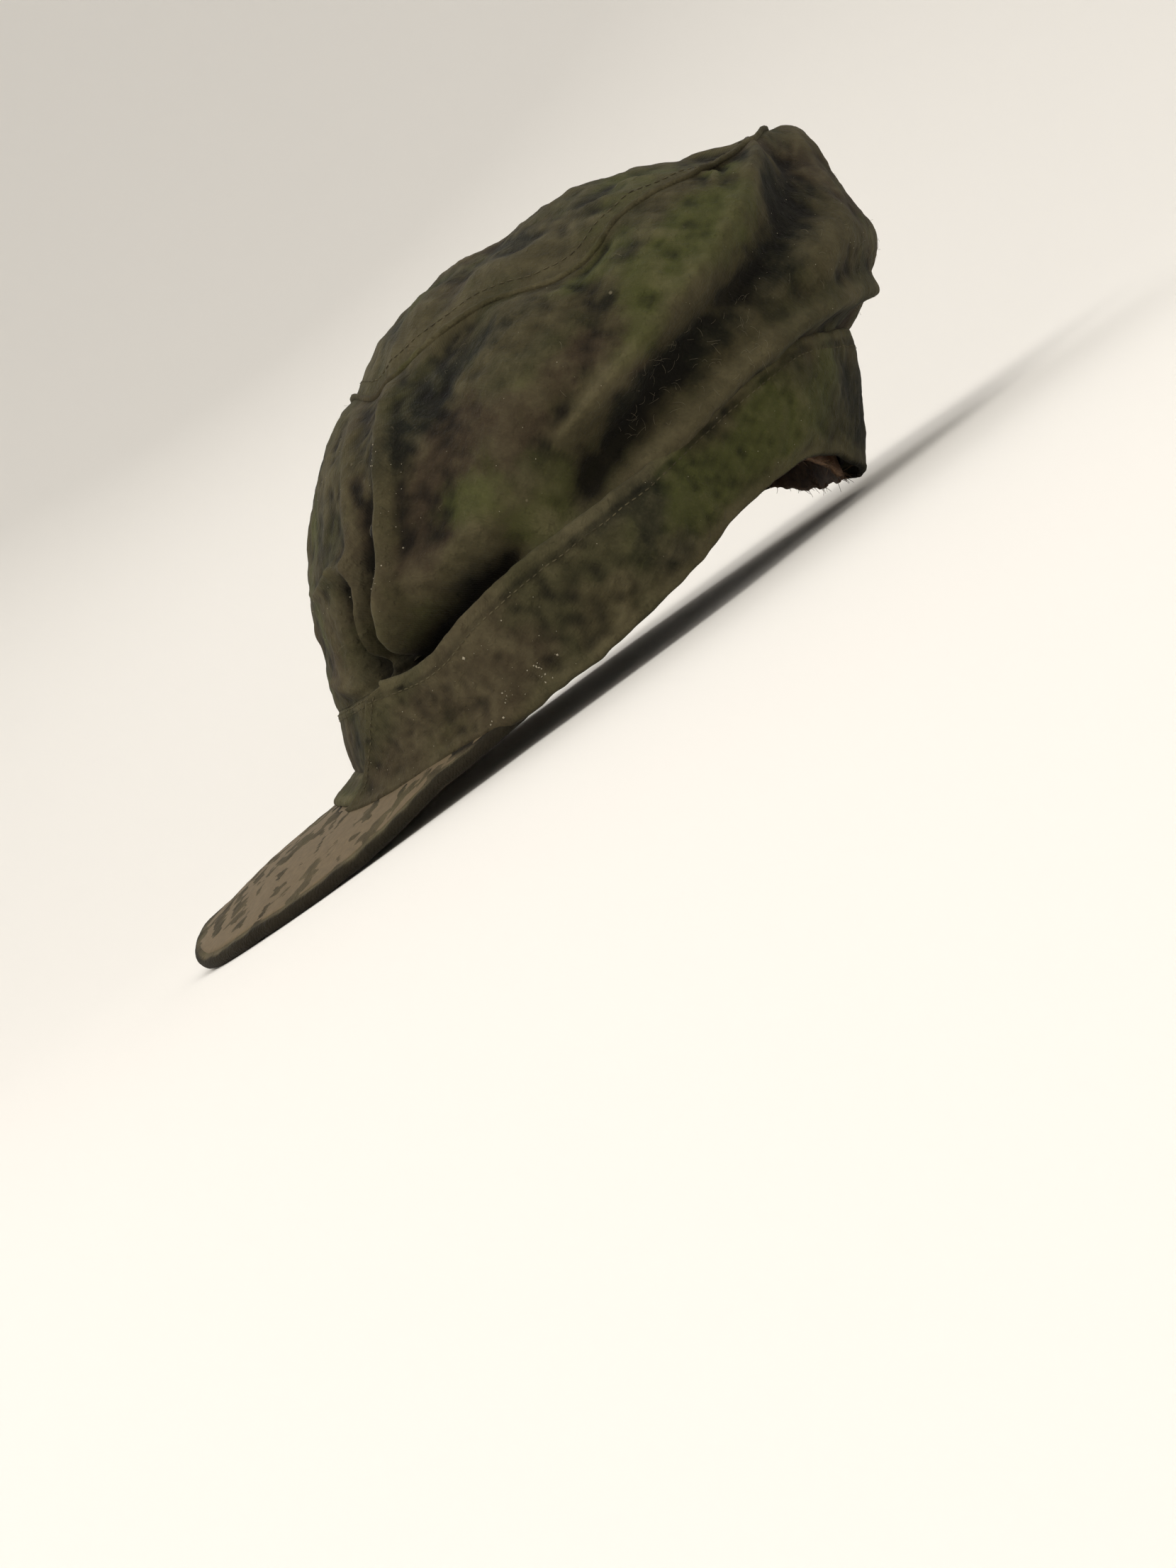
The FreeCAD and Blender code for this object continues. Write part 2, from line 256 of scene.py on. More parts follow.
class Finish:
    # one material and its nodes
    def __init__(self, name):
        self.material = bpy.data.materials.new(name)
        self.material.use_nodes = True
        self.tree = self.material.node_tree
        self.tree.nodes.clear()
        self.shader = self.tree.nodes.new("ShaderNodeBsdfPrincipled")
        output = self.tree.nodes.new("ShaderNodeOutputMaterial")
        self.tree.links.new(self.shader.outputs[0], output.inputs[0])

    def node(self, kind, settings=None, inputs=None, give=0):
        made = self.tree.nodes.new(kind)
        for key, value in (settings or {}).items():
            setattr(made, key, value)
        for key, value in (inputs or {}).items():
            if isinstance(value, Wire):
                self.tree.links.new(value.socket, made.inputs[key])
            else:
                made.inputs[key].default_value = value
        return Wire(self.tree, made.outputs[give])

    def attribute(self, name):
        return self.node("ShaderNodeAttribute", {"attribute_name": name}, give=2)

    def place(self):
        return self.node("ShaderNodeTexCoord", give=3)

    def cloth(self):
        return self.node("ShaderNodeTexCoord", give=2)

    def speckle(self, vector, scale, detail=3.0, rough=0.55, distortion=0.0):
        return self.node("ShaderNodeTexNoise", {"noise_dimensions": "3D"}, {
            "Vector": vector, "Scale": scale, "Detail": detail, "Roughness": rough, "Distortion": distortion})

    def ramp(self, factor, low, high):
        return self.node("ShaderNodeMapRange", {"interpolation_type": "SMOOTHSTEP", "clamp": True}, {
            "Value": factor, "From Min": low, "From Max": high})

    def mix(self, factor, under, over):
        made = self.tree.nodes.new("ShaderNodeMix")
        made.data_type = "RGBA"
        for place, value in ((0, factor), (6, under), (7, over)):
            if isinstance(value, Wire):
                self.tree.links.new(value.socket, made.inputs[place])
            else:
                made.inputs[place].default_value = (*value, 1) if place else value
        return Wire(self.tree, made.outputs[2])

    def shade(self, colour, roughness, height=None, bump=0.3, distance=0.0004, **fixed):
        for key, value in (("Base Color", colour), ("Roughness", roughness)):
            if isinstance(value, Wire):
                self.tree.links.new(value.socket, self.shader.inputs[key])
            else:
                self.shader.inputs[key].default_value = (*value, 1) if key == "Base Color" else value
        if height is not None:
            normal = self.node("ShaderNodeBump", {}, {
                "Height": height, "Strength": bump, "Distance": distance})
            self.tree.links.new(normal.socket, self.shader.inputs["Normal"])
        for key, value in fixed.items():
            self.shader.inputs[key.replace("_", " ")].default_value = value
        return self.material


def linear(red, green, blue):
    # a colour picked on a screen scale of 0 to 255, as linear light
    return tuple(((c / 255 + 0.055) / 1.055) ** 2.4 if c > 10 else c / 255 / 12.92
                 for c in (red, green, blue))


# materials: base colours on a screen scale, spots per metre
camouflage = {
    "ground": linear(57, 52, 34),
    "brown": linear(50, 40, 30),
    "green": linear(43, 43, 24),
    "lime": linear(62, 65, 31),
    "dark": linear(17, 19, 12),
    # pale dust, also used for the painted highlight on worn edges
    "dustAndHighlight": linear(96, 89, 66),
    # near-black, for dark mottle and for the painted shade in hollows
    "shadeAndDirt": linear(12, 10, 7),
    "spotSize": 230.0,  # spots per metre in the broken edges of the blotches
}


def makeCamouflage(name, dusty=1.0, pattern=1.0, ground=None, ragged=1.0):
    paint = Finish(name)
    here = paint.place()
    # every small spot shifts the blotches' fields by its own amount, so their edges end in dots
    jitter = paint.node("ShaderNodeVectorMath", {"operation": "SCALE"}, {
        0: paint.node("ShaderNodeTexNoise", {}, {"Vector": here, "Scale": 170.0, "Detail": 2.0}, give=1),
        "Scale": 0.007})
    warped = paint.node("ShaderNodeVectorMath", {"operation": "ADD"}, {0: here, 1: jitter})
    spot = paint.node("ShaderNodeTexVoronoi", {"feature": "F1"}, {
        "Vector": warped, "Scale": camouflage["spotSize"], "Randomness": 1.0}, give=1)
    dots = paint.node("ShaderNodeSeparateColor", {}, {"Color": spot})
    dots2 = Wire(paint.tree, dots.socket.node.outputs[1])
    cloudy = paint.speckle(here, 62.0, 4.0, 0.62)
    shake = (dots - 0.5) * 0.08 + (cloudy - 0.5) * (1.1 * ragged)
    shake2 = (dots2 - 0.5) * 0.08 + (0.5 - cloudy) * ragged

    def blotch(field, low, high, shift, other=False):
        return paint.ramp(paint.attribute(field) + (shake2 if other else shake) + shift, low, high) * pattern

    base = ground or camouflage["ground"]
    green = paint.ramp(paint.speckle(warped, 34.0, 2.0, 0.5) + shake2 * 0.25, 0.47, 0.60)
    colour = paint.mix(green * (0.75 * pattern), base, camouflage["green"])
    colour = paint.mix(blotch("brown", 0.06, 0.44, 0.0) * 0.8, colour, camouflage["brown"])
    colour = paint.mix(blotch("lime", 0.12, 0.60, 0.0, True) * 0.85, colour, camouflage["lime"])
    colour = paint.mix(blotch("dark", 0.12, 0.54, 0.0) * 0.9, colour, camouflage["dark"])
    # faded patches, fine fuzz, dust where the cloth stands out with a painted highlight on some edges,
    # painted shade in the hollows
    fade = paint.ramp(paint.speckle(here, 20.0, 3.0, 0.6), 0.45, 0.80)
    colour = paint.mix(fade * 0.15, colour, camouflage["dustAndHighlight"])
    fuzz = paint.speckle(here, 900.0, 3.0, 0.7)
    colour = paint.mix(paint.ramp(fuzz, 0.48, 0.76) * 0.12, colour, camouflage["dustAndHighlight"])
    mottle = paint.ramp(paint.speckle(here, 240.0, 4.0, 0.65), 0.40, 0.66)
    colour = paint.mix((1 - mottle) * 0.17, colour, camouflage["shadeAndDirt"])
    patchy = paint.ramp(paint.speckle(here, 60.0, 4.0, 0.65), 0.38, 0.70)
    # dust where the cloth stands out, with a painted highlight on the peak's rim and the flap's edges
    wearAndHighlight = paint.attribute("wearAndHighlight")
    colour = paint.mix((wearAndHighlight * (patchy * 0.7 + 0.3) * (0.46 * dusty)).clamped(), colour, camouflage["dustAndHighlight"])
    film = paint.ramp(paint.speckle(here, 34.0, 5.0, 0.7), 0.52, 0.85)
    colour = paint.mix((film * (0.15 * dusty)).clamped(), colour, camouflage["dustAndHighlight"])
    # painted shade: the near-black colour over creases, hollows and crevices
    colour = paint.mix((paint.attribute("shadeAndDirt") * 0.85).clamped(), colour, camouflage["shadeAndDirt"])
    # pale crumbs of dried mud and lint
    crumbs = paint.node("ShaderNodeTexVoronoi", {"feature": "F1"}, {"Vector": here, "Scale": 150.0})
    crumbMask = (1 - paint.ramp(crumbs, 0.04, 0.10)) * paint.ramp(paint.speckle(here, 40.0, 2.0), 0.60, 0.68)
    colour = paint.mix(crumbMask * 0.45, colour, linear(150, 140, 116))
    # twill ribs across the cloth, fuzz and small crumples
    ribs = paint.node("ShaderNodeTexWave", {"wave_type": "BANDS", "bands_direction": "DIAGONAL"}, {
        "Vector": paint.cloth(), "Scale": 640.0, "Distortion": 0.8, "Detail": 1.0,
        "Detail Scale": 2.0}, give=1)
    crumple = paint.speckle(here, 90.0, 5.0, 0.62, 0.5)
    pills = paint.ramp(paint.speckle(here, 420.0, 2.0, 0.5), 0.52, 0.72)
    height = ribs * 0.07 + fuzz * 0.48 + crumple * 2.0 + pills * 0.36 + crumbMask * 0.5
    return paint.shade(colour, 0.86 + fuzz * 0.1, height, 0.75, 0.0009, Sheen_Weight=0.02,
                       Sheen_Roughness=0.5, Specular_IOR_Level=0.12)


def makeLining():
    paint = Finish("liningCloth")
    here = paint.place()
    fuzz = paint.speckle(here, 700.0, 3.0, 0.6)
    stain = paint.ramp(paint.speckle(here, 22.0, 4.0, 0.6), 0.35, 0.7)
    colour = paint.mix(stain * 0.6, linear(84, 80, 58), linear(60, 52, 38))
    colour = paint.mix(fuzz * 0.25, colour, linear(104, 98, 76))
    flat = paint.cloth()
    weave, cross = (paint.node("ShaderNodeTexWave", {"bands_direction": way},
                               {"Vector": flat, "Scale": 300.0}, give=1) for way in "XY")
    return paint.shade(colour, 0.9, weave * cross * 0.4 + fuzz * 0.5, 0.35, 0.0005, Specular_IOR_Level=0.2)


def makeLeather():
    paint = Finish("sweatbandLeather")
    here = paint.place()
    grain = paint.node("ShaderNodeTexVoronoi", {"feature": "DISTANCE_TO_EDGE"}, {
        "Vector": here, "Scale": 620.0})
    creases = paint.ramp(grain, 0.0, 0.12)
    stain = paint.ramp(paint.speckle(here, 30.0, 5.0, 0.65), 0.35, 0.7)
    colour = paint.mix(stain, linear(92, 60, 38), linear(44, 28, 19))
    colour = paint.mix(paint.attribute("wearAndHighlight") * 0.6, colour, linear(142, 112, 84))
    colour = paint.mix((1 - creases) * 0.35, colour, linear(34, 22, 15))
    return paint.shade(colour, 0.62 + stain * 0.15, creases + paint.speckle(here, 120.0, 3.0), 0.3, 0.0004)


def makeThread():
    paint = Finish("sewingThread")
    here = paint.place()
    dirtAndShade = paint.ramp(paint.speckle(here, 90.0, 3.0, 0.6), 0.35, 0.7)
    colour = paint.mix(dirtAndShade, linear(86, 79, 58), linear(54, 49, 34))
    twist = paint.speckle(here, 1500.0, 2.0)
    return paint.shade(colour, 0.85, twist, 0.4, 0.0003, Specular_IOR_Level=0.25)


def makeBoard():
    paint = Finish("pressedBoard")
    here = paint.place()
    pulp = paint.speckle(here, 400.0, 4.0, 0.7)
    colour = paint.mix(pulp, linear(112, 96, 70), linear(78, 66, 48))
    return paint.shade(colour, 0.9, pulp, 0.3, 0.0004)


def makeFibre(name, light, dark):
    paint = Finish(name)
    tone = paint.speckle(paint.place(), 300.0, 2.0)
    return paint.shade(paint.mix(tone, light, dark), 0.9)


crownCloth = makeCamouflage("crownCloth")
flapCloth = makeCamouflage("flapCloth", dusty=1.15, ragged=0.5)
peakCloth = makeCamouflage("peakCloth", dusty=1.5, pattern=0.22, ground=linear(88, 78, 59), ragged=0.7)
seamCloth = makeCamouflage("seamCloth", dusty=1.9, pattern=0.6)
liningCloth = makeLining()
sweatbandLeather = makeLeather()
sewingThread = makeThread()
pressedBoard = makeBoard()
frayedThread = makeFibre("frayedThread", linear(128, 104, 76), linear(66, 44, 30))
dustFibre = makeFibre("dustFibre", linear(122, 114, 92), linear(82, 76, 60))
lintFibre = makeFibre("lintFibre", linear(176, 168, 146), linear(122, 114, 94))
# near-black: painted shade for the open slit
slitShade = makeFibre("slitShade", linear(26, 23, 17), linear(14, 12, 9))
print("materials made")

# crown
crown = {
    "around": 460,       # points round the crown
    "up": 132,           # points from band to top seam
    "clothThickness": 1.3,
    "liningDepth": 2.2,
    # front Y, front Z, rear Y, rear Z, half breadth, side Z
    "levels": (
        (-88.0, 21.0, 102.0, 16.0, 81.5, 12.5),
        (-81.5, 38.0, 128.0, 29.0, 86.0, 33.0),
        (-73.5, 57.0, 144.0, 43.0, 87.0, 50.0),
        (-53.0, 82.0, 141.0, 70.0, 80.0, 66.0),
        (-23.5, 97.5, 131.5, 84.5, 68.0, 77.0),
    ),
    # folds: path of (degrees, height share), height at both ends, width, sharpness; millimetres
    "folds": (
        # the long ridges that fall from the top seam at the front, wearer's left
        (((38, 0.99), (47, 0.86), (52.5, 0.70), (54, 0.52), (54, 0.34), (53, 0.20), (51, 0.11)),
         2.5, 9.5, 4.2, "sharp"),
        (((25, 0.97), (34, 0.84), (40, 0.68), (43, 0.52), (42, 0.44)), 1.8, 2.2, 4.0, "sharp"),
        (((48, 0.56), (48.5, 0.42), (48.5, 0.32), (47.5, 0.22), (47, 0.12)), -3.0, -15.0, 3.4, "soft"),
        (((36, 0.47), (42, 0.45), (44.5, 0.36), (44, 0.24), (44, 0.14), (48, 0.03)), 1.5, 7.0, 2.6, "sharp"),
        (((38, 0.38), (38, 0.28), (38, 0.18), (41, 0.07)), -6.0, -15.0, 4.6, "soft"),
        (((14, 0.50), (24, 0.46), (35, 0.475)), 0.8, 2.4, 2.4, "sharp"),
        (((22, 0.13), (32, 0.07), (44, 0.04)), 2.2, 3.0, 3.2, "soft"),
        # the sagging front corner and the pocket under it
        (((52, 0.24), (60, 0.21), (70, 0.20)), 3.0, 2.0, 9.0, "soft"),
        (((50, 0.04), (56, 0.04), (62, 0.06), (68, 0.09), (74, 0.10)), -17.0, -9.0, 7.0, "soft"),
        # the broad fold from the top rear down over the ear, and the hollow behind it
        (((138, 0.96), (134, 0.84), (125, 0.70), (112, 0.56), (102, 0.47), (95, 0.41), (87, 0.35)),
         4.0, 4.0, 6.0, "sharp"),
        (((146, 0.80), (135, 0.63), (122, 0.47), (111, 0.36), (102, 0.26), (94, 0.17)),
         -6.0, -9.0, 12.0, "soft"),
        # the cloth that rolls over just above the flap
        (((162, 0.26), (146, 0.25), (132, 0.23), (124, 0.21), (116, 0.18), (107, 0.145), (98, 0.11),
          (88, 0.085)), 6.5, 3.5, 4.2, "soft"),
        (((140, 0.10), (126, 0.08), (112, 0.045), (98, 0.03), (84, 0.03), (74, 0.05)),
         -4.0, -4.0, 3.0, "soft"),
        (((152, 0.66), (146, 0.50), (138, 0.36)), 1.2, 1.6, 7.0, "soft"),
        # the small dart folded into the top seam at the rear
        (((121, 0.99), (123, 0.90), (121, 0.84)), 1.8, 1.2, 1.8, "sharp"),
        (((125, 0.97), (126, 0.90)), -1.6, -1.0, 2.2, "soft"),
        # shallow drag lines on the broad side
        (((60, 0.92), (66, 0.62), (64, 0.36)), -2.6, -2.0, 9.0, "soft"),
        (((76, 0.92), (82, 0.62), (74, 0.30)), 2.2, 1.4, 10.0, "soft"),
        (((92, 0.90), (93, 0.66), (86, 0.40)), -2.4, -1.6, 8.0, "soft"),
        # the wearer's right side, which hangs in its own folds
        (((-18, 0.95), (-26, 0.72), (-30, 0.46), (-28, 0.20)), 3.0, 6.0, 6.0, "sharp"),
        (((-10, 0.70), (-17, 0.42), (-19, 0.16)), -2.0, -8.0, 6.0, "soft"),
        (((-38, 0.60), (-41, 0.34), (-46, 0.08)), -3.0, -10.0, 7.0, "soft"),
        (((-48, 0.96), (-54, 0.70), (-56, 0.44), (-52, 0.20)), 2.5, 5.5, 6.5, "sharp"),
        (((-60, 0.30), (-74, 0.20), (-88, 0.12)), 4.5, 3.0, 6.5, "soft"),
        (((-66, 0.12), (-80, 0.06)), -7.0, -4.0, 6.0, "soft"),
        (((-76, 0.94), (-86, 0.70), (-90, 0.46), (-84, 0.28)), 4.5, 4.0, 8.5, "sharp"),
        (((-92, 0.86), (-101, 0.62), (-103, 0.40), (-97, 0.20)), -7.0, -5.0, 8.5, "soft"),
        (((-112, 0.90), (-117, 0.74), (-118, 0.50), (-110, 0.26)), 1.5, 5.5, 7.5, "sharp"),
        (((-130, 0.84), (-131, 0.58), (-124, 0.36)), -7.0, -5.5, 8.0, "soft"),
        (((-146, 0.40), (-130, 0.25), (-114, 0.15)), 5.0, 3.5, 5.5, "sharp"),
        (((-150, 0.84), (-152, 0.66), (-160, 0.44)), 1.0, 4.0, 7.0, "sharp"),
        (((-166, 0.80), (-172, 0.56)), -4.0, -3.5, 7.0, "soft"),
        # under the overhang at the back
        (((168, 0.24), (180, 0.20), (196, 0.25)), 2.0, 2.0, 6.0, "soft"),
        (((160, 0.10), (180, 0.08), (200, 0.10)), -3.0, -3.0, 5.0, "soft"),
    ),
    # slack corners: degrees, share, reach in degrees, reach in share, outward, downward
    "sags": (
        (62, 0.26, 13, 0.11, 3.6, 0.0),
        (51, 0.14, 5, 0.12, 2.0, 2.0),
        (66, 0.50, 22, 0.24, 1.6, 0.0),
        (98, 0.62, 20, 0.22, 2.0, 0.0),
        (155, 0.58, 14, 0.14, -4.0, 0.0),
        (172, 0.87, 16, 0.10, 5.5, 0.0),
        (178, 0.62, 12, 0.09, -3.5, 0.0),
        (24, 0.60, 16, 0.18, -3.2, 0.0),
        (12, 0.92, 20, 0.10, 1.2, 0.0),
        (-64, 0.22, 16, 0.12, 6.0, 5.0),
        (-122, 0.18, 18, 0.10, 5.0, 4.0),
        (-92, 0.55, 24, 0.25, 2.0, 0.0),
    ),
    # painted shade deep in the folds: degrees, share, reaches, strength
    "dirtAndShade": ((48.5, 0.40, 2.6, 0.08, 1.0), (48, 0.28, 2.4, 0.10, 1.0), (38.5, 0.30, 3.6, 0.12, 0.9),
             (40, 0.13, 4.5, 0.08, 1.0), (45, 0.04, 5.0, 0.04, 0.9), (57, 0.04, 10.0, 0.05, 1.1),
             (70, 0.10, 6.0, 0.05, 0.8), (134, 0.62, 9.0, 0.10, 0.45), (118, 0.42, 8.0, 0.08, 0.5),
             (104, 0.26, 7.0, 0.06, 0.5)),
    # where the print's colours lie on the wearer's left: degrees, share, reaches, strength
    "spots": {
        "lime": ((114, 0.72, 12, 0.10, 0.75), (106, 0.58, 9, 0.08, 0.7), (97, 0.44, 7, 0.08, 0.45),
                 (86, 0.18, 9, 0.10, 0.55), (92, 0.86, 9, 0.08, 0.5), (72, 0.36, 9, 0.10, 0.35),
                 (126, 0.90, 8, 0.08, 0.6), (60, 0.14, 7, 0.08, 0.2), (162, 0.40, 10, 0.16, 0.4)),
        "dark": ((60, 0.80, 6, 0.12, 0.7), (74, 0.86, 8, 0.08, 0.55), (102, 0.78, 7, 0.06, 0.5),
                 (95, 0.66, 4, 0.05, 0.5), (98, 0.28, 6, 0.08, 0.6), (56, 0.66, 5, 0.10, 0.55),
                 (140, 0.64, 8, 0.10, 0.6), (126, 0.46, 9, 0.12, 0.75), (110, 0.33, 9, 0.08, 0.7),
                 (148, 0.40, 8, 0.06, 0.45), (50, 0.46, 4, 0.14, 0.5), (78, 0.60, 6, 0.08, 0.45),
                 (68, 0.16, 7, 0.07, 0.6), (28, 0.60, 8, 0.12, 0.4), (134, 0.80, 6, 0.10, 0.5)),
        "brown": ((68, 0.52, 10, 0.16, 0.5), (80, 0.44, 9, 0.12, 0.4), (60, 0.30, 8, 0.12, 0.55),
                  (44, 0.50, 6, 0.2, 0.4), (90, 0.56, 6, 0.08, 0.3), (140, 0.94, 9, 0.08, 0.4),
                  (156, 0.62, 9, 0.14, 0.5), (16, 0.30, 14, 0.24, 0.5)),
    },
    # how far the top seam lies above its level, by degrees from the front
    "seamRise": ((-180, 0.0), (-140, 1.5), (-105, -1.5), (-70, 2.0), (-30, -1.0), (0, 0.5), (18, -0.5),
                 (29, -4.2), (40, -1.9), (50, 1.6), (60, 4.3), (68, 4.3), (75, 2.0), (82, -1.0), (90, -1.7),
                 (100, 2.4), (110, 2.0), (120, -0.8), (130, -2.4), (142, -2.2), (155, 0.0), (180, 0.0)),
    "degreeLength": 1.5,  # millimetres of cloth per degree, for the folds' widths
    "shareLength": 92.0,  # millimetres of cloth from band to top seam
}


def crownLevel(angle, row):
    frontY, frontZ, rearY, rearZ, breadth, sideZ = row
    x, y = onOval(angle, (rearY - frontY) / 2, breadth, (rearY + frontY) / 2, 1.0)
    turned = np.cos(angle)
    z = sideZ + np.where(turned > 0, frontZ - sideZ, rearZ - sideZ) * turned ** 2
    return np.stack([x, y, z], -1)


def crownBase(angle, share):
    # smooth surface through the levels, before any fold
    rows = [crownLevel(angle, row) for row in crown["levels"]]
    place = np.clip(share, 0, 1) * (len(rows) - 1)
    index = np.minimum(place.astype(int), len(rows) - 2)
    part = (place - index)[..., None]
    stack = np.stack(rows, 0)

    def pick(offset):
        return np.take_along_axis(stack, np.clip(index + offset, 0, len(rows) - 1)[None, ..., None], 0)[0]

    p0, p1, p2, p3 = (pick(k) for k in (-1, 0, 1, 2))
    return 0.5 * (2 * p1 + (p2 - p0) * part + (2 * p0 - 5 * p1 + 4 * p2 - p3) * part ** 2
                  + (3 * p1 - p0 - 3 * p2 + p3) * part ** 3)


def nearestOn(px, py, ax, ay, bx, by):
    # how far along the line from a to b a point lies nearest, and how far away it is
    part = np.clip(((px - ax) * (bx - ax) + (py - ay) * (by - ay)) / ((bx - ax) ** 2 + (by - ay) ** 2), 0, 1)
    return part, np.hypot(px - ax - part * (bx - ax), py - ay - part * (by - ay))


def foldHeight(degrees, share):
    # the sum of all folds, as a height over the smooth surface
    total = np.zeros_like(share)
    for path, startHeight, endHeight, width, kind in crown["folds"]:
        best = np.full_like(share, 1e9)
        height = np.zeros_like(share)
        lengths = len(path) - 1
        for turn in (-360, 0, 360):
            px = (degrees - turn) * crown["degreeLength"]
            py = share * crown["shareLength"]
            for k in range(lengths):
                ax, ay = path[k][0] * crown["degreeLength"], path[k][1] * crown["shareLength"]
                bx, by = path[k + 1][0] * crown["degreeLength"], path[k + 1][1] * crown["shareLength"]
                part, away = nearestOn(px, py, ax, ay, bx, by)
                nearer = away < best
                best = np.where(nearer, away, best)
                progress = (k + part) / lengths
                height = np.where(nearer, startHeight + (endHeight - startHeight) * progress, height)
        ratio = best / width
        total += height * (np.exp(-ratio ** 2) if kind == "soft" else 1 / (1 + ratio ** 2) ** 1.6)
    return total


def makeCrownGrid():
    angles = np.linspace(-math.pi, math.pi, crown["around"], endpoint=False)
    shares = np.linspace(0, 1, crown["up"])
    angle, share = np.meshgrid(angles, shares, indexing="ij")
    base = crownBase(angle, share)
    normals = normalsOf(base, True)
    degrees = np.degrees(angle)
    holdLow = smooth(0.0, 0.06, share + 0.02)
    holdHigh = 1 - smooth(0.90, 1.0, share) * 0.75
    rough = waves(base, 26.0, 1) * 1.5 + waves(base * (1, 1, 0.55), 9.0, 2) * 0.6 + waves(base, 4.2, 3) * 0.26
    drop = np.zeros_like(share)
    for a, b, wide, tall, out, down in crown["sags"]:
        turned = (degrees - a + 180) % 360 - 180
        mask = np.exp(-(turned / wide) ** 2 - ((share - b) / tall) ** 2)
        rough = rough + mask * out
        drop += mask * down * holdLow
    # the seam wanders up and down over the dome
    rise = along(crown["seamRise"], degrees) * smooth(0.74, 1.0, share)
    folds = foldHeight(degrees, share)
    lift = folds * holdLow * holdHigh + rough * holdLow * (1 - smooth(0.93, 1.0, share))
    grid = base + normals * lift[..., None]
    grid[..., 2] += rise - drop
    grid -= outwardAt(angle) * (0.5 * rise)[..., None]
    near = smooth(8, 30, degrees) * (1 - smooth(160, 176, degrees))
    fields = colourFields(grid, degrees, share, crown["spots"], 101, near)
    # painted shade: darker where the folds sink deepest, and in the listed spots
    foldShade = np.clip((-folds - 3.5) / 12.0, 0, 1) * (0.45 + 0.55 * smooth(0, 20, degrees))
    for a, b, wide, tall, strength in crown["dirtAndShade"]:
        foldShade = foldShade + strength * np.exp(-((degrees - a) / wide) ** 2 - ((share - b) / tall) ** 2)
    fields["hollow"] = np.clip(foldShade, 0, 1.05) * (0.80 + 0.30 * waves(grid, 8.0, 9))
    return grid, share, fields


crownGrid, crownShare, crownFields = makeCrownGrid()
print("crown shaped")


def rideFlap(piece):
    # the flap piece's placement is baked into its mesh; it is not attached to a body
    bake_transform(piece)


def settle(piece, node, body):
    # the CAD node that a piece stands for, if any, and the body that it moves with
    if node:
        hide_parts(node)
    if body == "flap":
        rideFlap(piece)
    else:
        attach(piece, body)


def halfRows(closedGrid, side):
    # the rows of a closed ring on one side of the centre plane, both centre seams included
    count = closedGrid.shape[0]
    half = count // 2
    if side == "left":
        order = list(range(half, count)) + [0]
    else:
        order = list(range(0, half + 1))
    return closedGrid[order]


topHem = 0.25 * smooth(0.93, 1.0, crownShare)
frontage = np.abs(np.linspace(-180, 180, crown["around"], endpoint=False))[:, None]
topHem = topHem + 0.35 * (1 - smooth(30, 56, frontage))
liningGrid = crownGrid - normalsOf(crownGrid, True) * crown["liningDepth"]
for side in ("left", "right"):
    fields = {key: halfRows(values, side) for key, values in crownFields.items()}
    piece = addCloth("crownSide_" + side, halfRows(crownGrid, side), crownCloth, crown["clothThickness"],
                     extraWearAndHighlight=halfRows(topHem, side), fields=fields)
    settle(piece, "crown_side_" + side, "crown")
    lined = halfRows(liningGrid[:, ::2], side)[::2]
    piece = addCloth("liningSide_" + side, lined, liningCloth, 0.6)
    settle(piece, "lining_side_" + side, "crown")

# top panel
topPanel = {
    "rings": 60,
    "middleY": 52.0,
    # the centre line of the dome, from front to rear
    "profile": ((-24, 100.0), (-16, 106.0), (-4, 110.0), (21, 110.5), (52, 109.0), (67, 107.5), (88, 103.5),
                (110, 96.0), (124, 90.0), (133, 86.0)),
    "fall": 2.6,        # how suddenly the dome falls to its seam, at the sides
    "frontFall": 6.0,   # and at the front
    "hollows": (        # place x, y, depth, radius
        (28, 26, -1.5, 20), (36, 76, -1.0, 16), (24, 50, -1.0, 16), (-34, 60, -3.5, 22), (-26, 14, 1.5, 18),
        (46, 50, -1.5, 12), (-16, 108, -3.0, 18), (40, 104, -3.0, 14), (46, 6, 1.5, 12), (-20, 84, 1.5, 16)),
    "creases": (        # from x, y to x, y, height, width
        ((54, 66), (63, 78), 1.6, 2.2), ((48, 78), (57, 90), 1.2, 2.4), ((30, 104), (38, 114), 1.8, 3.0),
        ((44, 20), (30, 44), -1.4, 5.0), ((-40, 30), (-20, 52), 1.6, 3.5), ((-30, 90), (-46, 70), -1.6, 4.5)),
    "spots": {
        "lime": ((44, 84, 12, 14, 0.5), (30, 20, 10, 12, 0.3)),
        "dark": ((40, 44, 12, 9, 0.6), (24, 66, 9, 12, 0.5), (52, 66, 8, 9, 0.5), (30, 0, 12, 7, 0.5)),
        "brown": ((20, 40, 12, 12, 0.4), (48, 28, 8, 10, 0.4), (10, 96, 14, 10, 0.5)),
    },
}


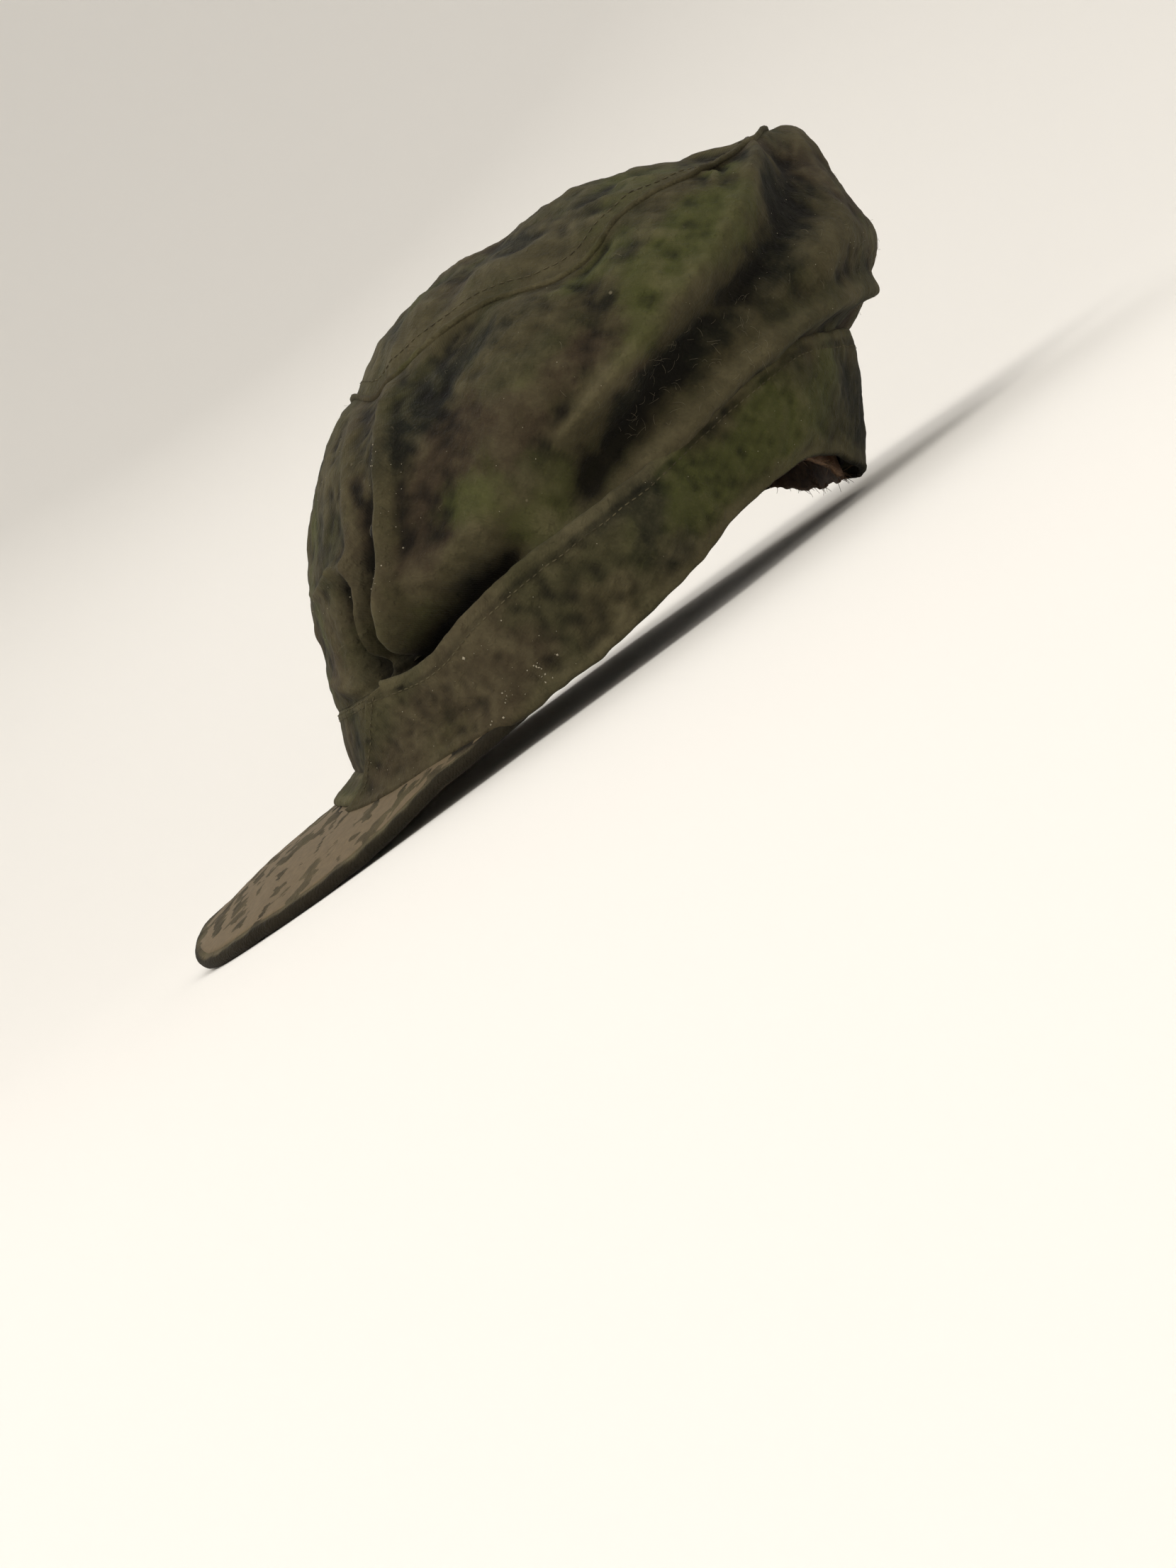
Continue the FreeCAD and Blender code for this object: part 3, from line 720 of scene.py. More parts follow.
def makeTopGrid():
    seam = crownGrid[:, -1]
    reach = np.linspace(1.0, 0.0, topPanel["rings"]) ** 0.85
    middle = np.array([0.0, topPanel["middleY"]])
    plan = middle + (seam[:, None, :2] - middle) * reach[None, :, None]
    summit = along(topPanel["profile"], plan[..., 1])
    ahead = np.clip(np.cos(np.linspace(-math.pi, math.pi, len(seam), endpoint=False)), 0, 1) ** 4
    fall = topPanel["fall"] + (topPanel["frontFall"] - topPanel["fall"]) * ahead[:, None]
    z = summit + (seam[:, None, 2] - summit) * reach[None, :] ** fall
    grid = np.concatenate([plan, z[..., None]], 2)
    free = (1 - smooth(0.85, 1.0, reach))[None, :] * smooth(0.0, 0.12, reach)[None, :]
    lift = waves(grid, 24.0, 5) * 1.8 + waves(grid, 8.0, 6) * 0.55 + waves(grid, 3.6, 7) * 0.12
    for x, y, depth, radius in topPanel["hollows"]:
        away = np.hypot(grid[..., 0] - x, grid[..., 1] - y)
        lift = lift + depth * np.exp(-(away / radius) ** 2)
    for (ax, ay), (bx, by), height, width in topPanel["creases"]:
        part, away = nearestOn(grid[..., 0], grid[..., 1], ax, ay, bx, by)
        lift = lift + height * np.exp(-(away / width) ** 2)
    # small gathers run in from the seam
    gathers = np.sin(np.linspace(-math.pi, math.pi, len(seam), endpoint=False) * 31) * 0.5 + 0.5
    gathers = gathers * (0.5 + waves(seam, 12.0, 8))
    nearSeam = smooth(0.72, 0.92, reach) * (1 - smooth(0.96, 1.0, reach))
    lift = lift + gathers[:, None] * nearSeam[None, :] * 0.9
    grid[..., 2] += lift * free
    return grid


topGrid = makeTopGrid()
topFields = colourFields(topGrid, topGrid[..., 0], topGrid[..., 1], topPanel["spots"], 111,
                         smooth(0, 20, topGrid[..., 0]))
piece = addCloth("topPanel", topGrid, crownCloth, 1.2, closed=True, fields=topFields,
                 extraWearAndHighlight=np.linspace(0.5, -0.6, topPanel["rings"]).clip(0.12)[None, :]
                 * np.ones((crown["around"], 1)))
settle(piece, "crown_top_panel", "crown")
linedTop = topGrid[::3, ::2].copy()
linedTop[..., 2] -= 3.0
linedTop[..., :2] = np.array([0, topPanel["middleY"]]) + (linedTop[..., :2] - [0, topPanel["middleY"]]) * 0.97
piece = addCloth("liningTop", linedTop, liningCloth, 0.6, closed=True)
settle(piece, "lining_top", "crown")


def addRoll(name, path, outward, profile, material, closed=False, wearAndHighlight=0.5):
    # a rolled edge: the profile's (out, up) points are carried along the path
    path = np.asarray(path)
    outward = np.asarray(outward)
    rows, columns = len(path), len(profile)
    out = np.array([p[0] for p in profile])
    up = np.array([p[1] for p in profile])
    tangent = np.gradient(path, axis=0)
    if closed:
        tangent = np.roll(path, -1, 0) - np.roll(path, 1, 0)
    tangent /= np.linalg.norm(tangent, axis=1, keepdims=True)
    side = outward - np.einsum("ij,ij->i", outward, tangent)[:, None] * tangent
    side /= np.linalg.norm(side, axis=1, keepdims=True)
    rise = np.cross(side, tangent)
    rise *= np.sign(rise[:, 2:3] + 1e-9)
    grid = path[:, None] + side[:, None] * out[None, :, None] + rise[:, None] * up[None, :, None]
    ring = np.concatenate([grid, grid[:, :1]], 1)
    points = grid.reshape(-1, 3)
    faces = []
    for i in range(rows if closed else rows - 1):
        after = (i + 1) % rows
        for j in range(columns):
            b = (j + 1) % columns
            faces.append((i * columns + j, after * columns + j, after * columns + b, i * columns + b))
    if not closed:
        faces.append(tuple(range(columns))[::-1])
        faces.append(tuple((rows - 1) * columns + j for j in range(columns)))
    length = np.cumsum(np.linalg.norm(np.diff(path, axis=0, prepend=path[:1]), axis=1))
    around = np.cumsum(np.linalg.norm(np.diff(ring, axis=1), axis=2), 1)
    flat = np.stack([np.repeat(length[:, None], columns, 1), around], 2).reshape(-1, 2)
    patchy = 0.5 + 0.5 * waves(points, 14.0, 11)
    layers = {"wearAndHighlight": np.clip(wearAndHighlight * (0.4 + patchy), 0, 1), "shadeAndDirt": np.zeros(len(points))}
    layers.update(colourFields(points, 0, 0, {}, 101))
    item = addMesh(name, points, faces, material, flat, layers)
    mesh = item.data
    bpy.context.view_layer.update()
    return fixFacing(item, mesh)


def fixFacing(item, mesh):
    # a closed shape whose volume comes out negative is turned the right way round
    points = np.array([v.co for v in mesh.vertices])
    volume = 0.0
    for face in mesh.polygons:
        corners = [points[v] for v in face.vertices]
        for k in range(1, len(corners) - 1):
            volume += np.dot(corners[0], np.cross(corners[k], corners[k + 1]))
    if volume < 0:
        mesh.flip_normals()
    return item


def roundProfile(halfOut, halfUp, count=10):
    turns = [2 * math.pi * k / count for k in range(count)]
    return [(halfOut * math.cos(a), halfUp * math.sin(a)) for a in turns]


seamLine = crownGrid[:, -1]
seamOut = normalsOf(crownGrid, True)[:, -3]
seamWobble = 0.3 * waves(seamLine, 6.0, 21) + 0.2 * waves(seamLine, 2.5, 22)
piece = addRoll("topSeamFold", seamLine + seamOut * (0.1 + seamWobble)[:, None], seamOut,
                roundProfile(1.15, 0.85), seamCloth, closed=True, wearAndHighlight=0.6)
settle(piece, "top_seam_fold", "crown")
print("top panel and seam made")

# band at the front, under the flap
band = {
    "halfLength": 95.4,
    "halfBreadth": 80.0,
    "rows": 26,
    "lowZ": ((0, 1.5), (58, -3.8), (75, -4.6), (90, -6.4), (118, 0.8), (130, 2.5), (150, -1.0), (165, -8.5),
             (180, -12.0)),
    "step": 0.5,         # how far the seam at its top stands out
}


def makeBandGrid():
    angles = np.linspace(-math.pi, math.pi, crown["around"], endpoint=False)
    ups = np.linspace(0, 1, band["rows"])
    angle, up = np.meshgrid(angles, ups, indexing="ij")
    lowX, lowY = onOval(angle, band["halfLength"], band["halfBreadth"])
    top = crownGrid[:, 0][:, None]
    low = np.stack([lowX, lowY, along(band["lowZ"], np.abs(np.degrees(angle)))], -1)
    grid = low + (top - low) * up[..., None]
    crease = waves(grid * (1, 1, 0.35), 9.0, 31) * 0.7 + waves(grid, 4.0, 32) * 0.2
    belly = 1.2 * np.sin(math.pi * up) + crease * smooth(0, 0.15, up)
    belly = belly + band["step"] * (smooth(0.86, 0.92, up) - smooth(0.97, 1.0, up))
    return grid + outwardAt(angle) * belly[..., None]


bandGrid = makeBandGrid()
piece = addCloth("crownBand", bandGrid, flapCloth, 1.4, closed=True,
                 extraWearAndHighlight=0.2 * smooth(0.88, 0.95, np.linspace(0, 1, band["rows"]))[None, :]
                 * np.ones((crown["around"], 1)))
settle(piece, "crown_band", "crown")

# turned-up flap
flap = {
    "along": 250,
    "up": 46,
    "clothThickness": 1.3,
    "facingThickness": 1.0,
    "endLow": 28.0,      # degrees from the front where the flap's ends stand, at the bottom
    "endTop": 52.5,
    # height of the lower fold and of the free edge, by degrees from the front
    "lowZ": ((28, -5.5), (33, -7.4), (42, -8.4), (53, -9.2), (63, -9.8), (70, -11.2), (78, -12.2),
             (85, -11.6), (94, -10.4), (105, -7.4), (118, -2.8), (130, -1.0), (142, -2.0), (152, -6.0),
             (165, -13.0), (180, -16.5)),
    "topZ": ((28, 14), (51, 18.5), (58, 15.5), (64, 13.8), (70, 14.8), (75, 17.2), (80, 18.6), (92, 19.5),
             (105, 19.5), (120, 22.5), (140, 25.0), (158, 22.0), (180, 19.5)),
    # distance outside the head's oval; the flare turns the lowest part out over the peak
    "lowOut": ((28, 4.5), (60, 4.0), (75, 4.0), (90, 4.0), (120, 3.0), (150, 3.0), (180, 3.5)),
    "flare": ((28, 7.0), (45, 5.0), (60, 3.6), (72, 2.0), (84, 0.0), (180, 0.0)),
    "roll": ((28, 2.1), (70, 2.1), (90, 1.5), (180, 1.5)),
    "topOut": ((28, 4.0), (50, 4.5), (60, 4.5), (75, 5.0), (90, 5.0), (105, 5.5), (120, 8.0), (150, 17.0),
               (180, 22.0)),
    # soft waves: centre degrees, width in degrees, height
    "wavesLeft": ((62, 7, -1.4), (75, 8, 1.6), (88, 8, -2.0), (103, 8, 2.6), (118, 8, -2.2), (138, 9, 1.8),
                  (160, 7, -2.0)),
    "wavesRight": ((54, 8, 1.6), (70, 9, -2.0), (92, 10, 2.4), (114, 9, -2.2), (134, 8, 2.0), (160, 8, -1.6)),
    # where the print's colours lie on the wearer's left: degrees, share, reaches, strength
    "spots": {
        "lime": ((98, 0.75, 8, 0.25, 0.6), (108, 0.45, 10, 0.35, 0.55), (122, 0.55, 9, 0.35, 0.75),
                 (134, 0.35, 9, 0.3, 0.6), (144, 0.75, 7, 0.3, 0.5), (90, 0.45, 7, 0.3, 0.3)),
        "dark": ((94, 0.52, 5, 0.28, 0.65), (86, 0.80, 7, 0.16, 0.5), (102, 0.25, 5, 0.2, 0.4),
                 (170, 0.35, 9, 0.4, 0.85), (156, 0.55, 5, 0.2, 0.45), (76, 0.85, 6, 0.15, 0.4),
                 (112, 0.85, 5, 0.12, 0.35)),
        "brown": ((50, 0.4, 18, 0.6, 0.7), (68, 0.25, 12, 0.3, 0.5), (176, 0.75, 10, 0.3, 0.5)),
    },
}


def flapSurface(degrees, up, side, inset=0.0):
    # degrees from the front (0 to 180) and share of the height; side is 1 left, -1 right
    low = along(flap["lowZ"], degrees)
    top = along(flap["topZ"], degrees)
    near = (1 - up) ** 1.3
    out = along(flap["lowOut"], degrees) * near + along(flap["topOut"], degrees) * (1 - near)
    out = out + along(flap["flare"], degrees) * (1 - up) ** 4.5
    for centre, width, height in flap["wavesLeft" if side > 0 else "wavesRight"]:
        out = out + height * np.exp(-((degrees - centre) / width) ** 2) * np.sin(math.pi * (0.12 + 0.76 * up))
    x, y = onOval(np.radians(degrees), 97.0 + out - inset, 81.0 + out - inset)
    return np.stack([x * side, y, low + (top - low) * up], -1)


def makeFlapGrid(side):
    across = np.linspace(0, 1, flap["along"])
    ups = np.linspace(0, 1, flap["up"])
    part, up = np.meshgrid(across, ups, indexing="ij")
    start = flap["endLow"] + (flap["endTop"] - flap["endLow"]) * up ** 0.9
    # the upper front corner is a little rounded
    start = start + 2.5 * smooth(0.88, 1.0, up) ** 2
    degrees = start + (180.0 - start) * part
    grid = flapSurface(degrees, up, side)
    seed = 41 if side > 0 else 47
    rough = waves(grid, 16.0, seed) * 0.9 + waves(grid, 5.0, seed + 1) * 0.4 \
        + waves(grid, 2.4, seed + 4) * 0.1
    outward = outwardAt(np.radians(degrees)) * (side, 1, 1)
    grid = grid + outward * (rough * smooth(0, 0.12, up))[..., None]
    grid[..., 2] += waves(grid, 12.0, seed + 2) * 0.8 * (1 - smooth(0.0, 0.5, up)) \
        + waves(grid, 9.0, seed + 3) * 0.6 * smooth(0.7, 1.0, up)
    return grid, degrees, up


def hemmed(grid, degrees, side, thickness):
    # rolls the cloth inwards below the lower fold and over the free edge
    outward = outwardAt(np.radians(degrees)) * (side, 1, 1)
    turns = np.radians((30, 60, 90, 120, 150))
    roll = along(flap["roll"], degrees[:, 0])[:, None]
    down = np.array([0, 0, 1.0])
    lowRoll = [grid[:, 0] - roll * (outward[:, 0] * (1 - math.cos(a)) + down * math.sin(a))
               for a in turns[::-1]]
    topRoll = [grid[:, -1] - thickness * (outward[:, -1] * (1 - math.cos(a)) - down * math.sin(a))
               for a in turns]
    return np.concatenate([np.stack(lowRoll, 1), grid, np.stack(topRoll, 1)], 1)


flapGrids = {}
for side, sign in (("left", 1), ("right", -1)):
    grid, degrees, up = makeFlapGrid(sign)
    flapGrids[side] = (grid, degrees, up)
    rolled = hemmed(grid, degrees, sign, 1.4)
    shares = np.linspace(0, 1, rolled.shape[1])[None, :] * np.ones((rolled.shape[0], 1))
    turned = np.repeat(degrees[:, :1], rolled.shape[1], 1)
    fields = colourFields(rolled, turned, shares, flap["spots"] if sign > 0 else {}, 121 + sign,
                          1.0 if sign > 0 else 0.0)
    # painted shade in the crevice under the lower roll, and a painted dark line just below the free edge
    dirtAndShade = np.zeros(rolled.shape[:2])
    dirtAndShade[:, :4] = (1, 1, 0.9, 0.4)
    dirtAndShade[:, -12:-8] = (0.2, 0.45, 0.4, 0.15)
    fields["hollow"] = dirtAndShade * (0.8 + 0.6 * waves(rolled, 3.0, 55))
    # paler on the lower roll's lip and along the free edge: wear with a painted highlight; paler also at the
    # front end and towards the front
    edge = np.zeros(rolled.shape[:2])
    edge[:, 3:11] = (0.5, 0.9, 1, 1, 0.8, 0.6, 0.4, 0.2)
    edge[:, -10:] = (0, 0.3, 0.7, 1, 1, 1, 1, 1, 1, 1)
    edge[:4] += 0.7
    edge += 0.55 * (1 - smooth(58, 84, turned))
    if sign < 0:
        rolled, edge = rolled[::-1], edge[::-1]
        fields = {key: values[::-1] for key, values in fields.items()}
    piece = addCloth("flap_" + side, rolled, flapCloth, flap["clothThickness"], extraWearAndHighlight=edge, wearAndShadeGain=0.8,
                     fields=fields)
    settle(piece, "flap_" + side, "flap")
    inside = flapSurface(degrees, 0.06 + 0.9 * up, sign, inset=2.6)
    inside = inside[::-1] if sign < 0 else inside
    piece = addCloth("flapFacing_" + side, inside[::2, ::2], liningCloth, flap["facingThickness"])
    settle(piece, "flap_facing_" + side, "flap")
print("flap made")

# peak
peak = {
    "along": 240,
    "across": 60,
    "thickness": 2.6,
    "clothThickness": 0.7,
    "seamHeight": -2.6,
    "slope": 0.09,
    "seamY": -99.0,
    "archRadius": 215.0,
    "templeFlattening": 60.0,
    "tipY": -171.5,
    "halfWidth": 85.0,
    "sideY": -58.0,
    "fullness": 2.7,      # how square the front corners are
    "templeX": 78.5,
    "templeY": -26.0,
    "droop": 11.0,        # how far the front corners hang
    "droopStartY": -125.0,
}


def peakHeight(x, y):
    # the arch is flatter near the temples
    radius = peak["archRadius"] + peak["templeFlattening"] * smooth(-100, -50, y)
    slope = peak["slope"] * np.where(y < peak["seamY"], 1.0, 0.55)
    z = peak["seamHeight"] + slope * (y - peak["seamY"]) - x ** 2 / (2 * radius)
    past = np.clip((peak["droopStartY"] - y) / 45.0, 0, None)
    return z - peak["droop"] * past ** 2 * (0.08 + 0.92 * np.clip(np.abs(x) / 70.0, 0, 1) ** 1.5)


def peakOutline(part, inset=0.0):
    # part runs from -1 at the right temple, through 0 at the tip, to 1 at the left temple
    size = np.abs(part)
    curved = 0.82
    turn = math.pi / 2 * (1 - np.clip(size / curved, 0, 1))
    power = 2 / peak["fullness"]
    x = (peak["halfWidth"] - inset) * np.cos(turn) ** power
    y = peak["sideY"] - (peak["sideY"] - peak["tipY"] - inset) * np.sin(turn) ** power
    back = np.clip((size - curved) / (1 - curved), 0, 1)
    x = x + (peak["templeX"] - peak["halfWidth"]) * back ** 2
    y = y + (peak["templeY"] - peak["sideY"]) * back
    return np.sign(part + 1e-9) * x, y


def evenParts(count, inset=0.0):
    # parts spaced evenly along the outline
    fine = np.linspace(-1, 1, 4001)
    x, y = peakOutline(fine, inset)
    length = np.concatenate([[0], np.cumsum(np.hypot(np.diff(x), np.diff(y)))])
    return np.interp(np.linspace(0, length[-1], count), length, fine)


def peakSeam(part):
    # the seam under the band, matched to the outline's parts
    angle = part * math.radians(73.5)
    return onOval(angle, 97.2, 82.2)


def peakGrid(depth, inset, rows, columns, reach=1.0, start=0.0):
    parts = evenParts(rows) * reach
    across = np.linspace(start, 1, columns)
    part, share = np.meshgrid(parts, across, indexing="ij")
    seamX, seamY = peakSeam(part)
    outX, outY = peakOutline(part, inset)
    x = seamX + (outX - seamX) * share
    y = seamY + (outY - seamY) * share
    grid = np.stack([x, y, peakHeight(x, y) - depth], -1)
    grid[..., 2] += (waves(grid, 34.0, 61) * 0.9) * smooth(0.0, 0.3, share)
    return grid


def makePeakTop():
    # upper cloth, carried round the edge and a little way underneath
    grid = peakGrid(0.0, 1.7, peak["along"], peak["across"])
    edge = grid[:, -1]
    tangent = np.gradient(edge, axis=0)
    away = np.cross(tangent, [0, 0, 1.0])
    away /= np.linalg.norm(away, axis=1, keepdims=True)
    away *= np.sign(np.einsum("ij,ij->i", away, edge - [0, -60, -10]))[:, None]
    radius = peak["thickness"] / 2
    rolls = [edge + away * radius * math.sin(a) - np.array([0, 0, 1.0]) * radius * (1 - math.cos(a))
             for a in np.radians((20, 42, 65, 90, 115, 138, 160, 180))]
    rolls.append(edge - away * 2.0 - np.array([0, 0, 2 * radius]))
    grid = np.concatenate([grid, np.stack(rolls, 1)], 1)
    fine = waves(grid, 7.0, 62) * 0.22 + waves(grid, 3.0, 63) * 0.08
    grid[..., 2] += fine
    return grid


peakTopGrid = makePeakTop()
# pale rim along the peak's edge: worn cloth with a painted highlight
peakEdgeWearAndHighlight = np.zeros(peakTopGrid.shape[:2])
peakEdgeWearAndHighlight[:, peak["across"] - 3:peak["across"] + 3] = 1.0
peakEdgeWearAndHighlight[:, peak["across"] - 8:peak["across"] - 3] = np.linspace(0.1, 0.7, 5)
peakFields = colourFields(peakTopGrid, 0, 0, {}, 12)
# painted shade on the peak's top close to the seam, where it runs under the strip and the flap
power = 2 / 0.93
out = (np.abs(peakTopGrid[..., 0] / 81) ** power + np.abs(peakTopGrid[..., 1] / 97) ** power) ** (1 / power)
reachHere = (out - 1) * 89
ragged = waves(peakTopGrid, 2.2, 64) * 0.9
peakFields["hollow"] = 1 - smooth(9.0, 11.6, reachHere + ragged + smooth(-70, -30, peakTopGrid[..., 1]) * 2.0)
piece = addCloth("peakTopCover", peakTopGrid, peakCloth, peak["clothThickness"], extraWearAndHighlight=peakEdgeWearAndHighlight + 0.12,
                 fields=peakFields)
settle(piece, "peak_top_cover", "peak")
under = peakGrid(peak["thickness"], 3.0, peak["along"], 40)[::-1]
piece = addCloth("peakUnderCover", under, peakCloth, peak["clothThickness"])
settle(piece, "peak_under_cover", "peak")
boardGrid = peakGrid(0.9, 3.4, 120, 30, reach=0.9, start=0.03)
piece = addCloth("peakBoard", boardGrid, pressedBoard, 1.6)
settle(piece, "peak_board", "peak")
print("peak made")

# rolled strip over the peak's seam
strip = {
    "along": 220,
    "endDegrees": 66.0,
    "reach": ((0, 9.6), (18, 9.4), (27, 9.0), (33, 6.6), (45, 4.0), (66, 2.6)),
    "topRise": 4.6,
    # from the top, close to the band, down and out to the rolled edge and back underneath
    "profile": ((-0.25, 1.00), (0.0, 0.92), (0.12, 0.82), (0.28, 0.74), (0.46, 0.68), (0.64, 0.63),
                (0.80, 0.60), (0.93, 0.50), (1.0, 0.30), (0.99, 0.12), (0.93, 0.03), (0.82, 0.0),
                (0.55, 0.02), (0.3, 0.05)),
}


def makeStrip():
    degrees = np.linspace(-strip["endDegrees"], strip["endDegrees"], strip["along"])
    angle = np.radians(degrees)
    line = np.stack([degrees, degrees * 0, degrees * 0], -1)
    reach = along(strip["reach"], np.abs(degrees)) + 0.6 * waves(line, 9.0, 71) + 0.25 * waves(line, 3.0, 73)
    outward = outwardAt(angle)
    startX, startY = onOval(angle, 97.0, 81.8)
    start = np.stack([startX, startY, peakHeight(startX, startY)], -1)
    grid = np.zeros((len(degrees), len(strip["profile"]), 3))
    for k, (out, up) in enumerate(strip["profile"]):
        point = start + outward * (out * reach)[:, None]
        grid[:, k, :2] = point[:, :2]
        grid[:, k, 2] = peakHeight(point[:, 0], point[:, 1]) + 0.35 + up * strip["topRise"]
    return grid


stripGrid = makeStrip()


def refine(grid, factor):
    # more points up the profile, on a smooth line
    columns = grid.shape[1]
    place = np.linspace(0, columns - 1, (columns - 1) * factor + 1)
    result = np.zeros((grid.shape[0], len(place), 3))
    for i in range(grid.shape[0]):
        for axis in range(3):
            table = list(zip(range(columns), grid[i, :, axis]))
            result[i, :, axis] = along(table, place)
    return result


stripFine = refine(stripGrid, 3)
stripFine[..., 2] += 0.25 * waves(stripFine, 5.0, 72)
stripWear = np.full(stripFine.shape[:2], 0.3)
stripWear[:, 18:34] = 0.8
piece = addCloth("peakSeamStrip", stripFine[:, ::-1], seamCloth, 1.0, extraWearAndHighlight=stripWear[:, ::-1])
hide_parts("peak_seam_strip")
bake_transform(piece)

# sweatband inside the opening
sweatband = {
    "halfLength": 92.4,
    "halfBreadth": 77.0,
    "top": 0.8,         # share of the band's height that it reaches inside
    "lowZ": ((0, -2.5), (60, -8.0), (90, -9.5), (112, -4.0), (130, 0.5), (146, -2.5),
             (160, -11.5), (180, -15.5)),
}


def makeSweatband():
    angles = np.linspace(-math.pi, math.pi, crown["around"], endpoint=False)
    ups = np.linspace(0, 1, 20)
    angle, up = np.meshgrid(angles, ups, indexing="ij")
    size = np.abs(np.degrees(angle))
    x, y = onOval(angle, sweatband["halfLength"], sweatband["halfBreadth"])
    line = np.stack([x, y, x * 0], -1)
    low = along(sweatband["lowZ"], size) + (waves(line, 5.0, 81) * 1.6 + waves(line, 2.0, 83) * 0.8) * smooth(
        120, 150, size)
    inner = bandGrid - outwardAt(angle[:, :1]) * 3.2
    column = int(sweatband["top"] * (band["rows"] - 1))
    high = inner[:, column][:, None]
    grid = np.stack([x, y, low], -1)
    grid = grid + (high - grid) * up[..., None]
    ripple = waves(grid, 10.0, 82) * 0.6
    return grid + outwardAt(angle) * ripple[..., None]


sweatGrid = makeSweatband()
sweatEdge = np.zeros(sweatGrid.shape[:2])
sweatEdge[:, :3] = (0.9, 0.6, 0.2)
piece = addCloth("sweatband", sweatGrid, sweatbandLeather, 1.1, closed=True, extraWearAndHighlight=sweatEdge)
settle(piece, "sweatband", "crown")
print("strip and sweatband made")

# stitches
stitches = {
    "length": 2.0,
    "gap": 0.7,
    "radius": 0.18,
}


def makeStitchTree():
    tree = bpy.data.node_groups.new("stitchRow", "GeometryNodeTree")
    face = tree.interface
    face.new_socket("Geometry", in_out="INPUT", socket_type="NodeSocketGeometry")
    for name in ("Stitch Length", "Gap", "Thread Radius"):
        face.new_socket(name, in_out="INPUT", socket_type="NodeSocketFloat")
    face.new_socket("Seed", in_out="INPUT", socket_type="NodeSocketInt")
    face.new_socket("Thread", in_out="INPUT", socket_type="NodeSocketMaterial")
    face.new_socket("Geometry", in_out="OUTPUT", socket_type="NodeSocketGeometry")

    def node(kind, inputs=None, **settings):
        made = tree.nodes.new(kind)
        for key, value in settings.items():
            setattr(made, key, value)
        for key, value in (inputs or {}).items():
            if isinstance(value, bpy.types.NodeSocket):
                tree.links.new(value, made.inputs[key])
            else:
                made.inputs[key].default_value = value
        return made

    given = node("NodeGroupInput").outputs
    pitch = node("ShaderNodeMath", {0: given["Stitch Length"], 1: given["Gap"]}, operation="ADD")
    curve = node("GeometryNodeMeshToCurve", {"Mesh": given["Geometry"]})
    spaced = node("GeometryNodeResampleCurve", {"Curve": curve.outputs[0]}, mode="LENGTH")
    tree.links.new(pitch.outputs[0], spaced.inputs["Length"])
    half = node("ShaderNodeMath", {0: given["Stitch Length"], 1: 0.5}, operation="MULTIPLY")
    size = node("ShaderNodeCombineXYZ", {
        "X": given["Thread Radius"], "Y": given["Thread Radius"], "Z": half.outputs[0]})
    bead = node("GeometryNodeMeshUVSphere", {"Segments": 7, "Rings": 6, "Radius": 1.0})
    stitch = node("GeometryNodeTransform", {"Geometry": bead.outputs["Mesh"], "Scale": size.outputs[0]})
    tangent = node("GeometryNodeInputTangent")
    turned = node("FunctionNodeAlignRotationToVector", {"Vector": tangent.outputs[0]}, axis="Z")
    wobble = node("FunctionNodeRandomValue", {
        0: (-0.09, -0.09, 0.0), 1: (0.09, 0.09, 0.0), "Seed": given["Seed"]}, data_type="FLOAT_VECTOR")
    jittered = node("FunctionNodeRotateRotation", {
        "Rotation": turned.outputs[0], "Rotate By": wobble.outputs[0]}, rotation_space="LOCAL")
    placed = node("GeometryNodeInstanceOnPoints", {
        "Points": spaced.outputs[0], "Instance": stitch.outputs[0], "Rotation": jittered.outputs[0]})
    real = node("GeometryNodeRealizeInstances", {"Geometry": placed.outputs[0]})
    painted = node("GeometryNodeSetMaterial", {"Geometry": real.outputs[0], "Material": given["Thread"]})
    node("NodeGroupOutput", {"Geometry": painted.outputs[0]})
    return tree


stitchTree = makeStitchTree()


def addStitches(name, paths, seed, length=None, radius=None):
    # one mesh of stitches along several open paths, in millimetres
    points = []
    edges = []
    for path in paths:
        start = len(points)
        points += (np.asarray(path) * mm).tolist()
        edges += [(start + k, start + k + 1) for k in range(len(path) - 1)]
    mesh = bpy.data.meshes.new(name + "Path")
    mesh.from_pydata(points, edges, [])
    guide = bpy.data.objects.new(name + "Path", mesh)
    bpy.context.scene.collection.objects.link(guide)
    modifier = guide.modifiers.new("stitchRow", "NODES")
    modifier.node_group = stitchTree
    values = {"Stitch Length": (length or stitches["length"]) * mm, "Gap": stitches["gap"] * mm,
              "Thread Radius": (radius or stitches["radius"]) * mm, "Seed": seed, "Thread": sewingThread}
    for item in stitchTree.interface.items_tree:
        if item.in_out == "INPUT" and item.name in values:
            modifier[item.identifier] = values[item.name]
    bpy.context.view_layer.update()
    evaluated = guide.evaluated_get(bpy.context.evaluated_depsgraph_get())
    baked = bpy.data.meshes.new_from_object(evaluated)
    guide.modifiers.remove(modifier)
    bpy.data.objects.remove(guide)
    baked.name = name
    item = bpy.data.objects.new(name, baked)
    bpy.context.scene.collection.objects.link(item)
    baked.polygons.foreach_set("use_smooth", [True] * len(baked.polygons))
    print(name, len(baked.polygons), "faces")
    return item


def lineOn(grid, column, closed, proud=0.12):
    normals = normalsOf(grid, closed)
    return grid[:, column] + normals[:, column] * proud


for side, sign in (("left", 1), ("right", -1)):
    grid = flapGrids[side][0]
    grid = grid if sign > 0 else grid[::-1]
    lift = normalsOf(grid, False) * 0.1
    end = 4 if sign > 0 else -5
    rows = [(grid + lift)[:, -7][3:-3], (grid + lift)[end, 6:-5]]
    piece = addStitches("flapStitches_" + side, rows, 3 + sign, length=1.5)
    settle(piece, "flap_thread_" + side, "flap")

